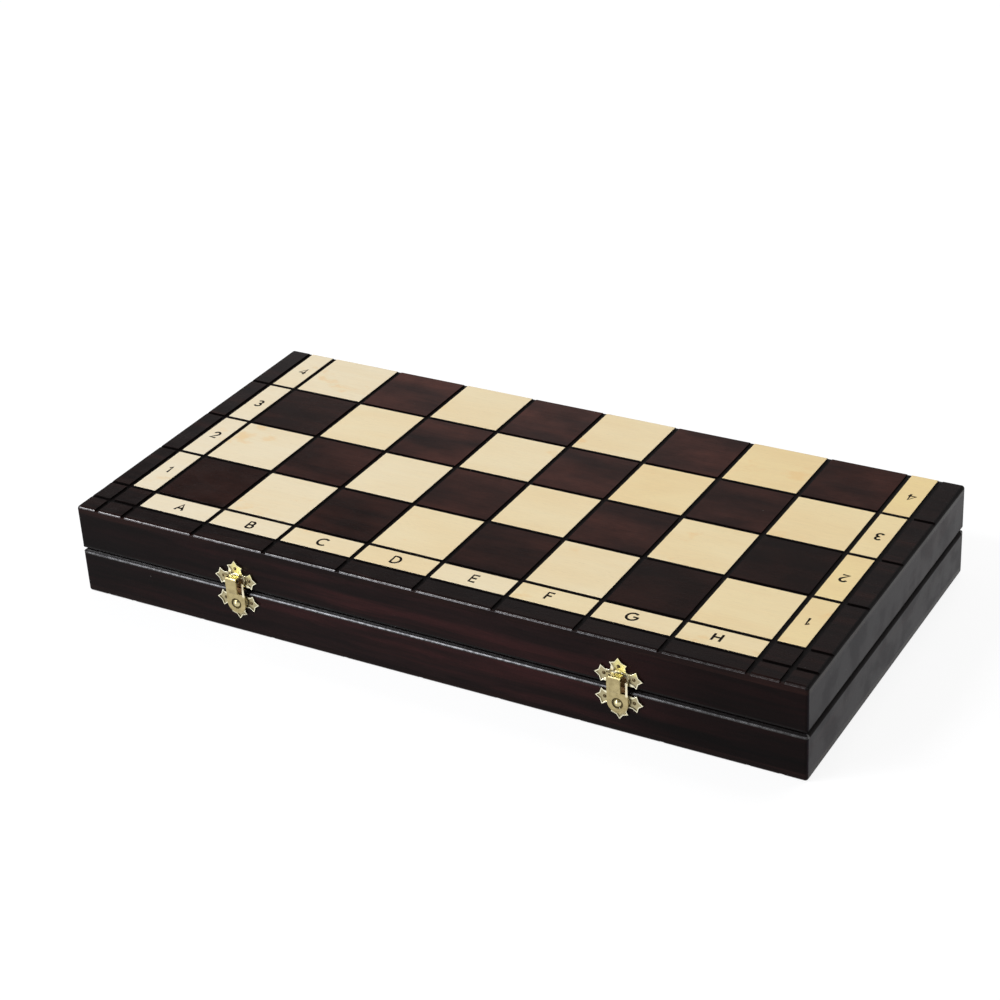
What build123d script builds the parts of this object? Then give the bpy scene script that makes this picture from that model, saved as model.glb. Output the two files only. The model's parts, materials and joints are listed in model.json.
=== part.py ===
# Folding wooden chess box: two shallow halves hinged at the back, a playing
# board on the outer faces, two swing latches on the front, and the chessmen
# lying in a lined tray inside. Millimetres, +Z up, closed, front towards -Y.
# The origin is the middle of the space the closed box takes, on its floor.
from build123d import *
from math import cos, pi, sin, sqrt
import os

os.makedirs("parts", exist_ok=True)

# Playing grid on the outer face of each half
FILES = 8
RANKS = 4
SQUARE = 42.8
LABEL_STRIP = 16.3
BORDER = 12.5
COLUMN_GROOVE_W = 2.6
ROW_GROOVE_W = 2.3
GROOVE_D = 0.9

# Wooden shell of each half
HALF_H = 24.9
SEAM_GAP = 0.2
WALL = 9.0
PANEL_T = 4.0
CORNER_R = 1.5
FACE_EDGE_R = 1.6
RIM_EDGE_R = 2.4

# Lining and storage tray
LINING_GAP = 0.3
LINER_T = 1.5
TRAY_FLOOR = 1.5
TRAY_BELOW_AXIS = 2.8
WELL_GAP = 0.3

# Chessmen: foot radius and height
KING_R = 15.5
KING_H = 80.0
QUEEN_R = 14.5
QUEEN_H = 70.0
BISHOP_R = 13.5
BISHOP_H = 58.0
KNIGHT_R = 13.5
KNIGHT_H = 52.0
ROOK_R = 13.0
ROOK_H = 43.0
PAWN_R = 12.0
PAWN_H = 40.0
FELT_T = 0.8
FOOT_H = 4.0
CROSS_T = 2.6

# Swing latch: plates, stars and nails
LATCH_X = (-103.15, 107.95)
PLATE_T = 1.0
DISH_D = 0.5
STAR_RIM = 0.7
STAR_R = 4.7
STAR_WAIST = 0.62
STAR_SIDE = 7.6
CATCH_SIDE_UP = 6.3
CATCH_END_UP = 11.7
CATCH_EDGE_UP = 2.6
PLATE_SIDE_DOWN = 6.4
PLATE_END_DOWN = 12.0
PLATE_EDGE_DOWN = 2.9
NAIL_R = 0.5
NAIL_HEAD_R = 0.95
NAIL_HEAD_H = 0.5
NAIL_L = 6.0

# Swing latch: lever, rivet and catch lug
RIVET_DOWN = 7.1
RIVET_R = 1.2
RIVET_HEAD_R = 2.0
RIVET_HEAD_H = 1.2
RIVET_L = 5.0
RIVET_FIT = 0.06
RIVET_SEAT_GAP = 0.05
BOSS_R = 3.4
LEVER_LIFT = 1.0
LEVER_T = 0.8
LEVER_W = 10.7
LEVER_SEAT_R = 2.9
LEVER_SEAT_D = 0.35
WINDOW_W = 8.5
HOOD_W = 5.8
HOOD_FACE = 5.3
HOOD_START = 5.8
HOOD_RAMP = 1.6
HOOD_BEND_R = 0.9
LUG_W = 2.6
LUG_T = 0.8
LUG_UP = 6.7
LUG_TOP_GAP = 0.4
LUG_FACE_GAP = 0.4
LUG_SWEEP_GAP = 0.4

# Butt hinges at the back
HINGE_X = 120.0
HINGE_L = 30.0
HINGE_BACK = 0.2
KNUCKLES = 5
KNUCKLE_GAP = 0.25
BARREL_R = 2.0
BARREL_GAP = 0.3
PIN_R = 1.0
PIN_FIT = 0.05
LEAF_W = 7.0
LEAF_T = 1.0
SCREW_PITCH = 10.5
SCREW_IN = 4.2
SCREW_R = 0.8
SCREW_HEAD_R = 1.7
SCREW_L = 8.0
SCREW_SLOT_W = 0.4
SCREW_SLOT_D = 0.35
SCREW_SINK = 0.05
WOOD_FIT = 0.05

# Sizes that follow from those above
LENGTH = FILES * SQUARE + 2 * (LABEL_STRIP + BORDER)
DEPTH = RANKS * SQUARE + LABEL_STRIP + BORDER
HEIGHT = 2 * HALF_H + SEAM_GAP
SEAM_Z = HEIGHT / 2
BARREL_REACH = HINGE_BACK + BARREL_R
CENTRE_Y = (HOOD_FACE - BARREL_REACH) / 2
FRONT_Y = CENTRE_Y - DEPTH / 2
BACK_Y = CENTRE_Y + DEPTH / 2
HINGE_Y = BACK_Y + HINGE_BACK
INNER_L = LENGTH - 2 * WALL
INNER_D = DEPTH - 2 * WALL
LID_FACE = Plane(origin=(0, CENTRE_Y, HEIGHT), x_dir=(1, 0, 0), z_dir=(0, 0, 1))
BASE_FACE = Plane(origin=(0, CENTRE_Y, 0), x_dir=(-1, 0, 0), z_dir=(0, 0, -1))
LEVER_IN = PLATE_T + LEVER_LIFT
LEVER_OUT = LEVER_IN + LEVER_T
HOOD_TOP = LUG_UP + LUG_T + LUG_TOP_GAP + LEVER_T


def save(piece, label):
    """Label one finished piece and write it."""
    piece.label = label
    export_step(piece, "parts/" + label + ".step")


def turned(place, start, path):
    """Solid of revolution about the local y axis of a plane.

    The outline starts on the axis at height start. Each stop of the path is
    one point for a straight run, or two points for an arc: one on it and its
    end. The last point is on the axis again.
    """
    with BuildPart() as piece:
        with BuildSketch(place):
            with BuildLine():
                here = (0, start)
                for stop in path:
                    if len(stop) == 1:
                        Line(here, stop[0])
                    else:
                        ThreePointArc(here, stop[0], stop[1])
                    here = stop[-1]
                Line(here, (0, start))
            make_face()
        revolve(axis=Axis(place.origin, place.y_dir))
    return piece.part


def column_lines():
    """Local x of the grooves that run from front to hinge edge."""
    half = FILES * SQUARE / 2
    inner = [file * SQUARE - half for file in range(FILES + 1)]
    return [-half - LABEL_STRIP] + inner + [half + LABEL_STRIP]


def row_lines():
    """Local y of the grooves that run from side to side."""
    front = -DEPTH / 2 + BORDER
    return [front] + [front + LABEL_STRIP + rank * SQUARE for rank in range(RANKS)]


def slab(face):
    """Rounded playing panel of one half before pockets and grooves."""
    with BuildPart() as blank:
        with BuildSketch(face.offset(-PANEL_T)):
            RectangleRounded(LENGTH, DEPTH, CORNER_R)
        extrude(amount=PANEL_T)
        outer_edges = blank.edges().group_by(Axis(face.origin, face.z_dir))[-1]
        fillet(outer_edges, radius=FACE_EDGE_R)
    return blank.part


def panel(face, blank):
    """Playing panel: pocket for the inlaid tiles, grooves on across the border."""
    columns = column_lines()
    rows = row_lines()
    field_d = DEPTH / 2 - rows[1]
    label_d = rows[1] - rows[0]
    with BuildPart() as board:
        add(blank)
        with BuildSketch(face):
            with Locations((0, rows[1] + field_d / 2)):
                Rectangle(columns[-1] - columns[0], field_d)
            with Locations((0, rows[0] + label_d / 2)):
                Rectangle(columns[-2] - columns[1], label_d)
            with Locations(*[(x, 0) for x in columns]):
                Rectangle(COLUMN_GROOVE_W, DEPTH)
            with Locations(*[(0, y) for y in rows]):
                Rectangle(LENGTH, ROW_GROOVE_W)
        extrude(amount=-GROOVE_D, mode=Mode.SUBTRACT)
    return board.part


def tile(columns, rows, column, row):
    """Centre and size of the tile between two column and two row grooves."""
    left = columns[column] + COLUMN_GROOVE_W / 2
    right = columns[column + 1] - COLUMN_GROOVE_W / 2
    near = rows[row] + ROW_GROOVE_W / 2
    far = rows[row + 1] - ROW_GROOVE_W / 2 if row + 1 < len(rows) else DEPTH / 2
    return ((left + right) / 2, (near + far) / 2), (right - left, far - near)


def tiles(face, blank, cells):
    """Inlaid tiles, one solid each, flush with the rounded panel."""
    with BuildPart() as inlay:
        add(blank)
        with BuildSketch(face):
            for column, row in cells:
                centre, size = tile(column_lines(), row_lines(), column, row)
                with Locations(centre):
                    Rectangle(*size)
        extrude(amount=-GROOVE_D, mode=Mode.INTERSECT)
    return inlay.part


def rail_ring(face):
    """Closed ring of rails under the panel."""
    with BuildPart() as ring:
        with BuildSketch(face.offset(-HALF_H)):
            RectangleRounded(LENGTH, DEPTH, CORNER_R)
        extrude(amount=HALF_H - PANEL_T)
        with BuildSketch(face.offset(-HALF_H)):
            Rectangle(INNER_L, INNER_D)
        extrude(amount=HALF_H - PANEL_T, mode=Mode.SUBTRACT)
    return ring.part


def mitre_outline(side):
    """Corners of one rail between its two mitres, seen on the outer face."""
    x_out = LENGTH / 2
    y_out = DEPTH / 2
    x_in = x_out - WALL
    y_in = y_out - WALL
    if side == "front":
        return [(-x_out, -y_out), (x_out, -y_out), (x_in, -y_in), (-x_in, -y_in)]
    if side == "back":
        return [(x_out, y_out), (-x_out, y_out), (-x_in, y_in), (x_in, y_in)]
    end = 1 if side == "plus" else -1
    return [(end * x_out, -y_out), (end * x_out, y_out), (end * x_in, y_in), (end * x_in, -y_in)]


def rim_block(face, along):
    """Full block under the panel, its rim rounded on the two sides along one axis."""
    with BuildPart() as block:
        with BuildSketch(face.offset(-HALF_H)):
            Rectangle(LENGTH, DEPTH)
        extrude(amount=HALF_H - PANEL_T)
        rim = block.edges().group_by(Axis(face.origin, face.z_dir))[0]
        fillet(rim.filter_by(along), radius=RIM_EDGE_R)
    return block.part


def rail(face, ring, side):
    """One mitred rail cut from the ring, rounded along its rim."""
    along = Axis.X if side in ("front", "back") else Axis.Y
    with BuildPart() as bar:
        add(rim_block(face, along))
        add(ring, mode=Mode.INTERSECT)
        with BuildSketch(face.offset(-HALF_H)):
            Polygon(*mitre_outline(side), align=None)
        extrude(amount=HALF_H, mode=Mode.INTERSECT)
    return bar.part


def front_plane(x, up=0.0):
    """Plane on the front face, normal outwards, local y up from the seam."""
    return Plane(origin=(x, FRONT_Y, SEAM_Z + up), x_dir=(1, 0, 0), z_dir=(0, -1, 0))


def front_axis(x, up):
    """Plane through a line square to the front face: local y points outwards."""
    return Plane(origin=(x, FRONT_Y, SEAM_Z + up), x_dir=(1, 0, 0), z_dir=(0, 0, -1))


def star_seats(side_up, end_up):
    """Star centres of one latch plate and the angle of each outward point."""
    end_turn = pi / 2 if end_up > 0 else -pi / 2
    return [(-STAR_SIDE, side_up, pi), (STAR_SIDE, side_up, 0.0), (0.0, end_up, end_turn)]


def star(centre_x, centre_y, turn, radius):
    """Corners of a five-pointed star, one point towards the given angle."""
    corners = []
    for step in range(10):
        reach = radius if step % 2 == 0 else radius * STAR_WAIST
        angle = turn + step * pi / 5
        corners.append((centre_x + reach * cos(angle), centre_y + reach * sin(angle)))
    return corners


def star_plate(x, side_up, end_up, edge_up):
    """Stamped plate: a waisted body with three dished stars and nail holes."""
    seats = star_seats(side_up, end_up)
    shoulder = side_up + (end_up - side_up) * 0.42
    neck = side_up + (end_up - side_up) * 0.62
    half = [
        (STAR_SIDE, edge_up),
        (STAR_SIDE, side_up),
        (STAR_SIDE * 0.76, shoulder),
        (STAR_R * 0.83, neck),
        (STAR_R * 0.77, end_up),
    ]
    body = half + [(-px, py) for px, py in reversed(half)]
    with BuildPart() as plate:
        with BuildSketch(front_plane(x)):
            Polygon(*body, align=None)
            for seat_x, seat_up, turn in seats:
                Polygon(*star(seat_x, seat_up, turn, STAR_R), align=None)
        extrude(amount=PLATE_T)
        with BuildSketch(front_plane(x).offset(PLATE_T)):
            for seat_x, seat_up, turn in seats:
                Polygon(*star(seat_x, seat_up, turn, STAR_R - STAR_RIM), align=None)
        extrude(amount=-DISH_D, mode=Mode.SUBTRACT)
        with BuildSketch(front_plane(x)):
            with Locations(*[(seat_x, seat_up) for seat_x, seat_up, turn in seats]):
                Circle(NAIL_R + WOOD_FIT)
        extrude(amount=PLATE_T, mode=Mode.SUBTRACT)
    return plate.part


def catch_plate(x):
    """Plate on the lid, with the lug bent out of the window below it."""
    lug_reach = HOOD_FACE - LEVER_T - LUG_FACE_GAP
    with BuildPart() as plate:
        add(star_plate(x, CATCH_SIDE_UP, CATCH_END_UP, CATCH_EDGE_UP))
        with BuildSketch(front_plane(x)):
            with Locations((0, LUG_UP - lug_reach / 2 + PLATE_T / 2)):
                Rectangle(LUG_W, lug_reach - PLATE_T)
        extrude(amount=PLATE_T, mode=Mode.SUBTRACT)
        with BuildSketch(front_plane(x)):
            with Locations((0, LUG_UP + LUG_T / 2)):
                Rectangle(LUG_W, LUG_T)
        extrude(amount=lug_reach)
    return plate.part


def latch_plate(x):
    """Plate on the base, with the round boss that the lever turns on."""
    with BuildPart() as plate:
        add(star_plate(x, -PLATE_SIDE_DOWN, -PLATE_END_DOWN, -PLATE_EDGE_DOWN))
        with BuildSketch(front_plane(x)):
            with Locations((0, -RIVET_DOWN)):
                Circle(BOSS_R)
        extrude(amount=LEVER_IN - RIVET_SEAT_GAP)
        with BuildSketch(front_plane(x)):
            with Locations((0, -RIVET_DOWN)):
                Circle(RIVET_R + WOOD_FIT)
        extrude(amount=LEVER_IN, mode=Mode.SUBTRACT)
    return plate.part


def lever(x):
    """Swing lever: rounded foot, two side strips and a pressed-out hood.

    The strip that the lug passes over as the lever swings ends below the
    circle that the lug's near corner runs on.
    """
    top = HOOD_TOP + RIVET_DOWN
    lug_near = LUG_UP + RIVET_DOWN
    strip_end = sqrt(lug_near**2 - (LEVER_W / 2) ** 2) - LUG_SWEEP_GAP
    window_top = top - LEVER_T
    window_h = window_top - HOOD_START
    pivot = front_plane(x, -RIVET_DOWN)
    side = Plane(origin=(x + HOOD_W / 2, FRONT_Y, SEAM_Z - RIVET_DOWN), x_dir=(0, -1, 0), z_dir=(-1, 0, 0))
    with BuildPart() as arm:
        with BuildSketch(pivot.offset(LEVER_IN)):
            Circle(LEVER_W / 2)
            with Locations((0, top / 2)):
                Rectangle(LEVER_W, top)
            with Locations((0, HOOD_START + window_h / 2)):
                Rectangle(WINDOW_W, window_h, mode=Mode.SUBTRACT)
            with Locations((HOOD_W / 2 + LEVER_W / 2, strip_end + top / 2)):
                Rectangle(LEVER_W, top, mode=Mode.SUBTRACT)
        extrude(amount=LEVER_T)
        with BuildSketch(side):
            with BuildLine():
                FilletPolyline(
                    (LEVER_OUT, HOOD_START - LEVER_T),
                    (LEVER_OUT, HOOD_START),
                    (HOOD_FACE, HOOD_START + HOOD_RAMP),
                    (HOOD_FACE, top),
                    (LEVER_IN, top),
                    radius=HOOD_BEND_R,
                )
                offset(amount=LEVER_T, side=Side.LEFT)
            make_face()
        extrude(amount=HOOD_W)
        with BuildSketch(pivot.offset(LEVER_OUT)):
            Circle(LEVER_SEAT_R)
        extrude(amount=-LEVER_SEAT_D, mode=Mode.SUBTRACT)
        with BuildSketch(pivot):
            Circle(RIVET_R + RIVET_FIT)
        extrude(amount=HOOD_FACE, mode=Mode.SUBTRACT)
    return arm.part


def headed_pin(place, length, shank_r, head_r, head_h, seat):
    """Round shank under a domed head whose dome is part of one ball."""
    ball_r = (head_r**2 + head_h**2) / (2 * head_h)
    centre = seat + head_h - ball_r
    side_r = head_r * 0.6
    path = [
        ((shank_r, -length),),
        ((shank_r, seat),),
        ((head_r, seat),),
        ((side_r, centre + sqrt(ball_r**2 - side_r**2)), (0, seat + head_h)),
    ]
    return turned(place, -length, path)


def rivet(x):
    """Rivet with a domed head in the seat of the lever."""
    seat = LEVER_OUT - LEVER_SEAT_D + RIVET_SEAT_GAP
    place = front_axis(x, -RIVET_DOWN)
    return headed_pin(place, RIVET_L, RIVET_R, RIVET_HEAD_R, RIVET_HEAD_H, seat)


def nail(x, up):
    """Round-headed nail through the middle of a star."""
    seat = PLATE_T - DISH_D
    return headed_pin(front_axis(x, up), NAIL_L, NAIL_R, NAIL_HEAD_R, NAIL_HEAD_H, seat)


def nail_group(side_up, end_up):
    """All the nails of the same plate on both latches."""
    with BuildPart() as group:
        for x in LATCH_X:
            for seat_x, seat_up, turn in star_seats(side_up, end_up):
                add(nail(x + seat_x, seat_up))
    return group.part


def front_rail(bar, side_up, end_up, rivet_up=None):
    """Front rail with holes for the nails and, on the base, the rivets."""
    with BuildPart() as drilled:
        add(bar)
        for x in LATCH_X:
            seats = star_seats(side_up, end_up)
            with BuildSketch(front_plane(x)):
                with Locations(*[(seat_x, seat_up) for seat_x, seat_up, turn in seats]):
                    Circle(NAIL_R + WOOD_FIT)
            extrude(amount=-NAIL_L - WOOD_FIT, mode=Mode.SUBTRACT)
            if rivet_up is not None:
                with BuildSketch(front_plane(x, rivet_up)):
                    Circle(RIVET_R + WOOD_FIT)
                extrude(amount=-RIVET_L - WOOD_FIT, mode=Mode.SUBTRACT)
    return drilled.part


def knuckle_spans(x, owner):
    """Start and length of every second knuckle along the barrel."""
    pitch = HINGE_L / KNUCKLES
    first = 0 if owner == "base" else 1
    spans = []
    for index in range(first, KNUCKLES, 2):
        start = x - HINGE_L / 2 + index * pitch + KNUCKLE_GAP / 2
        spans.append((start, pitch - KNUCKLE_GAP))
    return spans


def barrel_plane(x):
    """Plane across the hinge axis, at x, local origin on the axis."""
    return Plane(origin=(x, HINGE_Y, SEAM_Z), x_dir=(0, 1, 0), z_dir=(1, 0, 0))


def screw_places(x):
    """Plan positions of the screws of one leaf."""
    return [(x + step * SCREW_PITCH, BACK_Y - SCREW_IN) for step in (-1, 0, 1)]


def rim_z(owner):
    """Height of the rim of one half."""
    return SEAM_Z - SEAM_GAP / 2 if owner == "base" else SEAM_Z + SEAM_GAP / 2


def leaf(x, owner):
    """Hinge leaf let into the rim, with its knuckles round the pin."""
    other = "lid" if owner == "base" else "base"
    into = -1 if owner == "base" else 1
    rim = rim_z(owner)
    span = HINGE_Y - BACK_Y + LEAF_W
    with BuildPart() as hinge_leaf:
        with BuildSketch(Plane.XY.offset(rim)):
            with Locations((x, HINGE_Y - span / 2)):
                Rectangle(HINGE_L, span)
        extrude(amount=into * LEAF_T)
        for start, length in knuckle_spans(x, owner):
            with BuildSketch(barrel_plane(start)):
                Circle(BARREL_R)
            extrude(amount=length)
        for start, length in knuckle_spans(x, other):
            with BuildSketch(barrel_plane(start - KNUCKLE_GAP)):
                Circle(BARREL_R + BARREL_GAP)
            extrude(amount=length + 2 * KNUCKLE_GAP, mode=Mode.SUBTRACT)
        with BuildSketch(barrel_plane(x - HINGE_L)):
            Circle(PIN_R + PIN_FIT)
        extrude(amount=2 * HINGE_L, mode=Mode.SUBTRACT)
        for screw_x, screw_y in screw_places(x):
            with Locations(Plane(origin=(screw_x, screw_y, rim), z_dir=(0, 0, -into))):
                CounterSinkHole(SCREW_R + WOOD_FIT, SCREW_HEAD_R + WOOD_FIT, counter_sink_angle=90)
    return hinge_leaf.part


def hinge_pin(x):
    """Pin of one hinge with slightly rounded ends."""
    with BuildPart() as pin:
        with BuildSketch(barrel_plane(x - HINGE_L / 2)):
            Circle(PIN_R)
        extrude(amount=HINGE_L)
        ends = pin.edges().filter_by(GeomType.CIRCLE)
        fillet(ends, radius=PIN_R * 0.4)
    return pin.part


def screw_group(owner):
    """Countersunk slotted screws of both hinges in one half."""
    rim = rim_z(owner)
    up = 1 if owner == "base" else -1
    cone = SCREW_HEAD_R - SCREW_R
    path = [
        ((SCREW_R, -SCREW_L),),
        ((SCREW_R, -SCREW_SINK - cone),),
        ((SCREW_HEAD_R, -SCREW_SINK),),
        ((0, -SCREW_SINK),),
    ]
    with BuildPart() as group:
        for x in (-HINGE_X, HINGE_X):
            for screw_x, screw_y in screw_places(x):
                place = Plane(origin=(screw_x, screw_y, rim), x_dir=(1, 0, 0), z_dir=(0, -up, 0))
                add(turned(place, -SCREW_L, path))
        with BuildSketch(Plane.XY.offset(rim - up * SCREW_SINK)):
            for x in (-HINGE_X, HINGE_X):
                with Locations(*screw_places(x)):
                    Rectangle(2 * SCREW_HEAD_R, SCREW_SLOT_W, rotation=35)
        extrude(amount=-up * SCREW_SLOT_D, mode=Mode.SUBTRACT)
    return group.part


def back_rail(bar, owner):
    """Back rail with mortises, barrel hollows and screw holes."""
    rim = rim_z(owner)
    into = -1 if owner == "base" else 1
    mortise = LEAF_W + WOOD_FIT + HINGE_BACK
    hollow = HINGE_L + 2 * BARREL_GAP
    with BuildPart() as cut_bar:
        add(bar)
        for x in (-HINGE_X, HINGE_X):
            with BuildSketch(Plane.XY.offset(rim)):
                with Locations((x, HINGE_Y - mortise / 2)):
                    Rectangle(HINGE_L + 2 * WOOD_FIT, mortise)
            extrude(amount=into * LEAF_T, mode=Mode.SUBTRACT)
            with BuildSketch(barrel_plane(x - hollow / 2)):
                Circle(BARREL_R + BARREL_GAP)
            extrude(amount=hollow, mode=Mode.SUBTRACT)
            with BuildSketch(Plane.XY.offset(rim)):
                with Locations(*screw_places(x)):
                    Circle(SCREW_R + WOOD_FIT)
            extrude(amount=into * (SCREW_L + WOOD_FIT), mode=Mode.SUBTRACT)
    return cut_bar.part


def stem(r_foot, neck_r, collar_h, collar_r):
    """Outline shared by the turned men: foot, cove, waisted stem and collar."""
    step_h = FOOT_H + 0.22 * r_foot
    return [
        ((r_foot, FELT_T),),
        ((r_foot, FOOT_H),),
        ((0.93 * r_foot, FOOT_H + 0.15 * r_foot), (0.80 * r_foot, step_h)),
        ((0.70 * r_foot, step_h),),
        ((0.70 * r_foot, step_h + 0.8),),
        ((0.5 * neck_r + 0.27 * r_foot, 0.62 * step_h + 0.38 * collar_h), (neck_r, collar_h)),
        ((collar_r, collar_h + 0.5),),
        ((collar_r + 0.5, collar_h + 1.2), (collar_r, collar_h + 1.9)),
        ((neck_r + 0.3, collar_h + 2.4),),
    ]


def ball_low(radius, neck_r, height):
    """Height at which a ball under the top meets the neck it sits on."""
    return height - radius - sqrt(radius**2 - neck_r**2)


def ball_top(radius, neck_r, height):
    """Arc of a ball that sits on a neck and ends on the axis."""
    return [((neck_r, ball_low(radius, neck_r, height)),), ((radius, height - radius), (0, height))]


def pawn(place):
    """Pawn with a round head."""
    neck = 0.34 * PAWN_R
    path = stem(PAWN_R, neck, 0.61 * PAWN_H, 0.58 * PAWN_R)
    path += ball_top(0.54 * PAWN_R, neck + 0.3, PAWN_H)
    return turned(place, FELT_T, path)


def bishop(place):
    """Bishop with a pointed mitre, a slanting slot and a small finial."""
    neck = 0.34 * BISHOP_R
    collar = 0.58 * BISHOP_H
    tip = 0.15 * BISHOP_R
    path = stem(BISHOP_R, neck, collar, 0.60 * BISHOP_R)
    path += [
        ((neck + 0.3, collar + 3.4),),
        ((0.62 * BISHOP_R, 0.76 * BISHOP_H), (tip, 0.925 * BISHOP_H)),
    ]
    path += ball_top(1.25 * tip, tip, BISHOP_H)
    body = turned(place, FELT_T, path)
    with BuildPart() as slotted:
        add(body)
        with BuildSketch(place.offset(-BISHOP_R)):
            with Locations((0.42 * BISHOP_R, 0.84 * BISHOP_H)):
                Rectangle(0.07 * BISHOP_R, 0.6 * BISHOP_R, rotation=-40)
        extrude(amount=2 * BISHOP_R, mode=Mode.SUBTRACT)
    return slotted.part


def crown_outline(r_foot, height, collar, lip_r, lip_h, dome_h, tip_r):
    """Flared crown above the collar: neck, lip, sunk ring and dome."""
    neck = 0.34 * r_foot + 0.3
    return [
        ((neck, collar + 3.6),),
        ((0.5 * (neck + lip_r) - 0.04 * r_foot, 0.5 * (collar + lip_h) + 0.02 * height), (lip_r, lip_h)),
        ((lip_r - 0.04 * r_foot, lip_h + 0.10 * r_foot),),
        ((lip_r - 0.12 * r_foot, lip_h + 0.04 * r_foot),),
        ((0.66 * lip_r, lip_h + 0.72 * (dome_h - lip_h)), (tip_r, dome_h)),
    ]


def queen(place):
    """Queen with a notched coronet and a ball on top."""
    collar = 0.62 * QUEEN_H
    lip_h = 0.885 * QUEEN_H
    tip = 0.11 * QUEEN_R
    ball_r = 1.5 * tip
    dome_h = ball_low(ball_r, tip, QUEEN_H) - 0.05 * QUEEN_R
    path = stem(QUEEN_R, 0.34 * QUEEN_R, collar, 0.60 * QUEEN_R)
    path += crown_outline(QUEEN_R, QUEEN_H, collar, 0.66 * QUEEN_R, lip_h, dome_h, tip)
    path += ball_top(ball_r, tip, QUEEN_H)
    body = turned(place, FELT_T, path)
    notch = 0.10 * QUEEN_R
    with BuildPart() as notched:
        add(body)
        for step in range(FILES):
            angle = step * 2 * pi / FILES
            out = place.x_dir * cos(angle) + place.z_dir * sin(angle)
            spot = place.origin + place.y_dir * (lip_h + notch) + out * 0.5 * QUEEN_R
            with BuildSketch(Plane(origin=spot, x_dir=place.y_dir, z_dir=out)):
                Circle(notch)
            extrude(amount=QUEEN_R, mode=Mode.SUBTRACT)
    return notched.part


def king(place):
    """King with a domed crown and a cross."""
    collar = 0.60 * KING_H
    dome_h = 0.89 * KING_H
    tip = 0.12 * KING_R
    cross_h = KING_H - dome_h
    arm_h = 0.30 * cross_h
    path = stem(KING_R, 0.34 * KING_R, collar, 0.60 * KING_R)
    path += crown_outline(KING_R, KING_H, collar, 0.63 * KING_R, 0.83 * KING_H, dome_h, tip)
    path += [((tip, dome_h + 0.08 * cross_h),), ((0, dome_h + 0.08 * cross_h),)]
    body = turned(place, FELT_T, path)
    with BuildPart() as crowned:
        add(body)
        with BuildSketch(place.offset(-CROSS_T / 2)):
            with Locations((0, dome_h + cross_h / 2)):
                Rectangle(arm_h, cross_h)
            with Locations((0, dome_h + 0.58 * cross_h)):
                Rectangle(0.86 * cross_h, arm_h)
        extrude(amount=CROSS_T)
    return crowned.part


def rook(place):
    """Rook with a hollow battlement cut by slots."""
    neck_h = 0.60 * ROOK_H
    top_r = 0.74 * ROOK_R
    cup_d = 0.12 * ROOK_H
    path = stem(ROOK_R, 0.50 * ROOK_R, neck_h, 0.68 * ROOK_R)
    path += [
        ((0.56 * ROOK_R, neck_h + 4.2), (top_r, 0.80 * ROOK_H)),
        ((top_r, ROOK_H),),
        ((0.70 * top_r, ROOK_H),),
        ((0.70 * top_r, ROOK_H - cup_d),),
        ((0, ROOK_H - cup_d),),
    ]
    body = turned(place, FELT_T, path)
    with BuildPart() as tower:
        add(body)
        for turn in (0, 60, 120):
            top = Plane(origin=place.origin + place.y_dir * ROOK_H, x_dir=place.x_dir, z_dir=place.y_dir)
            with BuildSketch(top):
                Rectangle(2.2 * top_r, 0.24 * top_r, rotation=turn)
            extrude(amount=-0.8 * cup_d, mode=Mode.SUBTRACT)
    return tower.part


def knight(place):
    """Knight: turned foot and a carved horse's head, thick in the middle."""
    plinth = 0.20 * KNIGHT_H
    path = [
        ((KNIGHT_R, FELT_T),),
        ((KNIGHT_R, FOOT_H),),
        ((0.93 * KNIGHT_R, FOOT_H + 0.15 * KNIGHT_R), (0.80 * KNIGHT_R, FOOT_H + 0.22 * KNIGHT_R)),
        ((0.74 * KNIGHT_R, FOOT_H + 0.22 * KNIGHT_R),),
        ((0.74 * KNIGHT_R, plinth),),
        ((0, plinth),),
    ]
    shares = [
        (-0.66, 0.19),
        (-0.74, 0.36),
        (-0.70, 0.54),
        (-0.52, 0.72),
        (-0.26, 0.85),
        (-0.12, 0.90),
        (-0.02, 1.00),
        (0.12, 0.90),
        (0.30, 0.83),
        (0.58, 0.72),
        (0.90, 0.62),
        (0.95, 0.56),
        (0.84, 0.50),
        (0.70, 0.51),
        (0.38, 0.56),
        (0.22, 0.51),
        (0.42, 0.38),
        (0.60, 0.27),
        (0.60, 0.19),
    ]
    outline = [(px * KNIGHT_R, py * KNIGHT_H) for px, py in shares]
    foot = turned(place, FELT_T, path)
    with BuildPart() as horse:
        add(foot)
        for inset, thick in ((0.0, 0.50), (0.09, 0.68), (0.17, 0.80)):
            with BuildSketch(place.offset(-thick * KNIGHT_R / 2)):
                Polygon(*outline, align=None)
                if inset > 0:
                    offset(amount=-inset * KNIGHT_R, mode=Mode.REPLACE)
            extrude(amount=thick * KNIGHT_R)
    return horse.part


def felt(place, r_foot):
    """Felt disc under a man's foot."""
    with BuildPart() as disc:
        with BuildSketch(Plane(origin=place.origin, x_dir=place.x_dir, z_dir=place.y_dir)):
            Circle(0.94 * r_foot)
        extrude(amount=FELT_T)
    return disc.part


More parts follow.
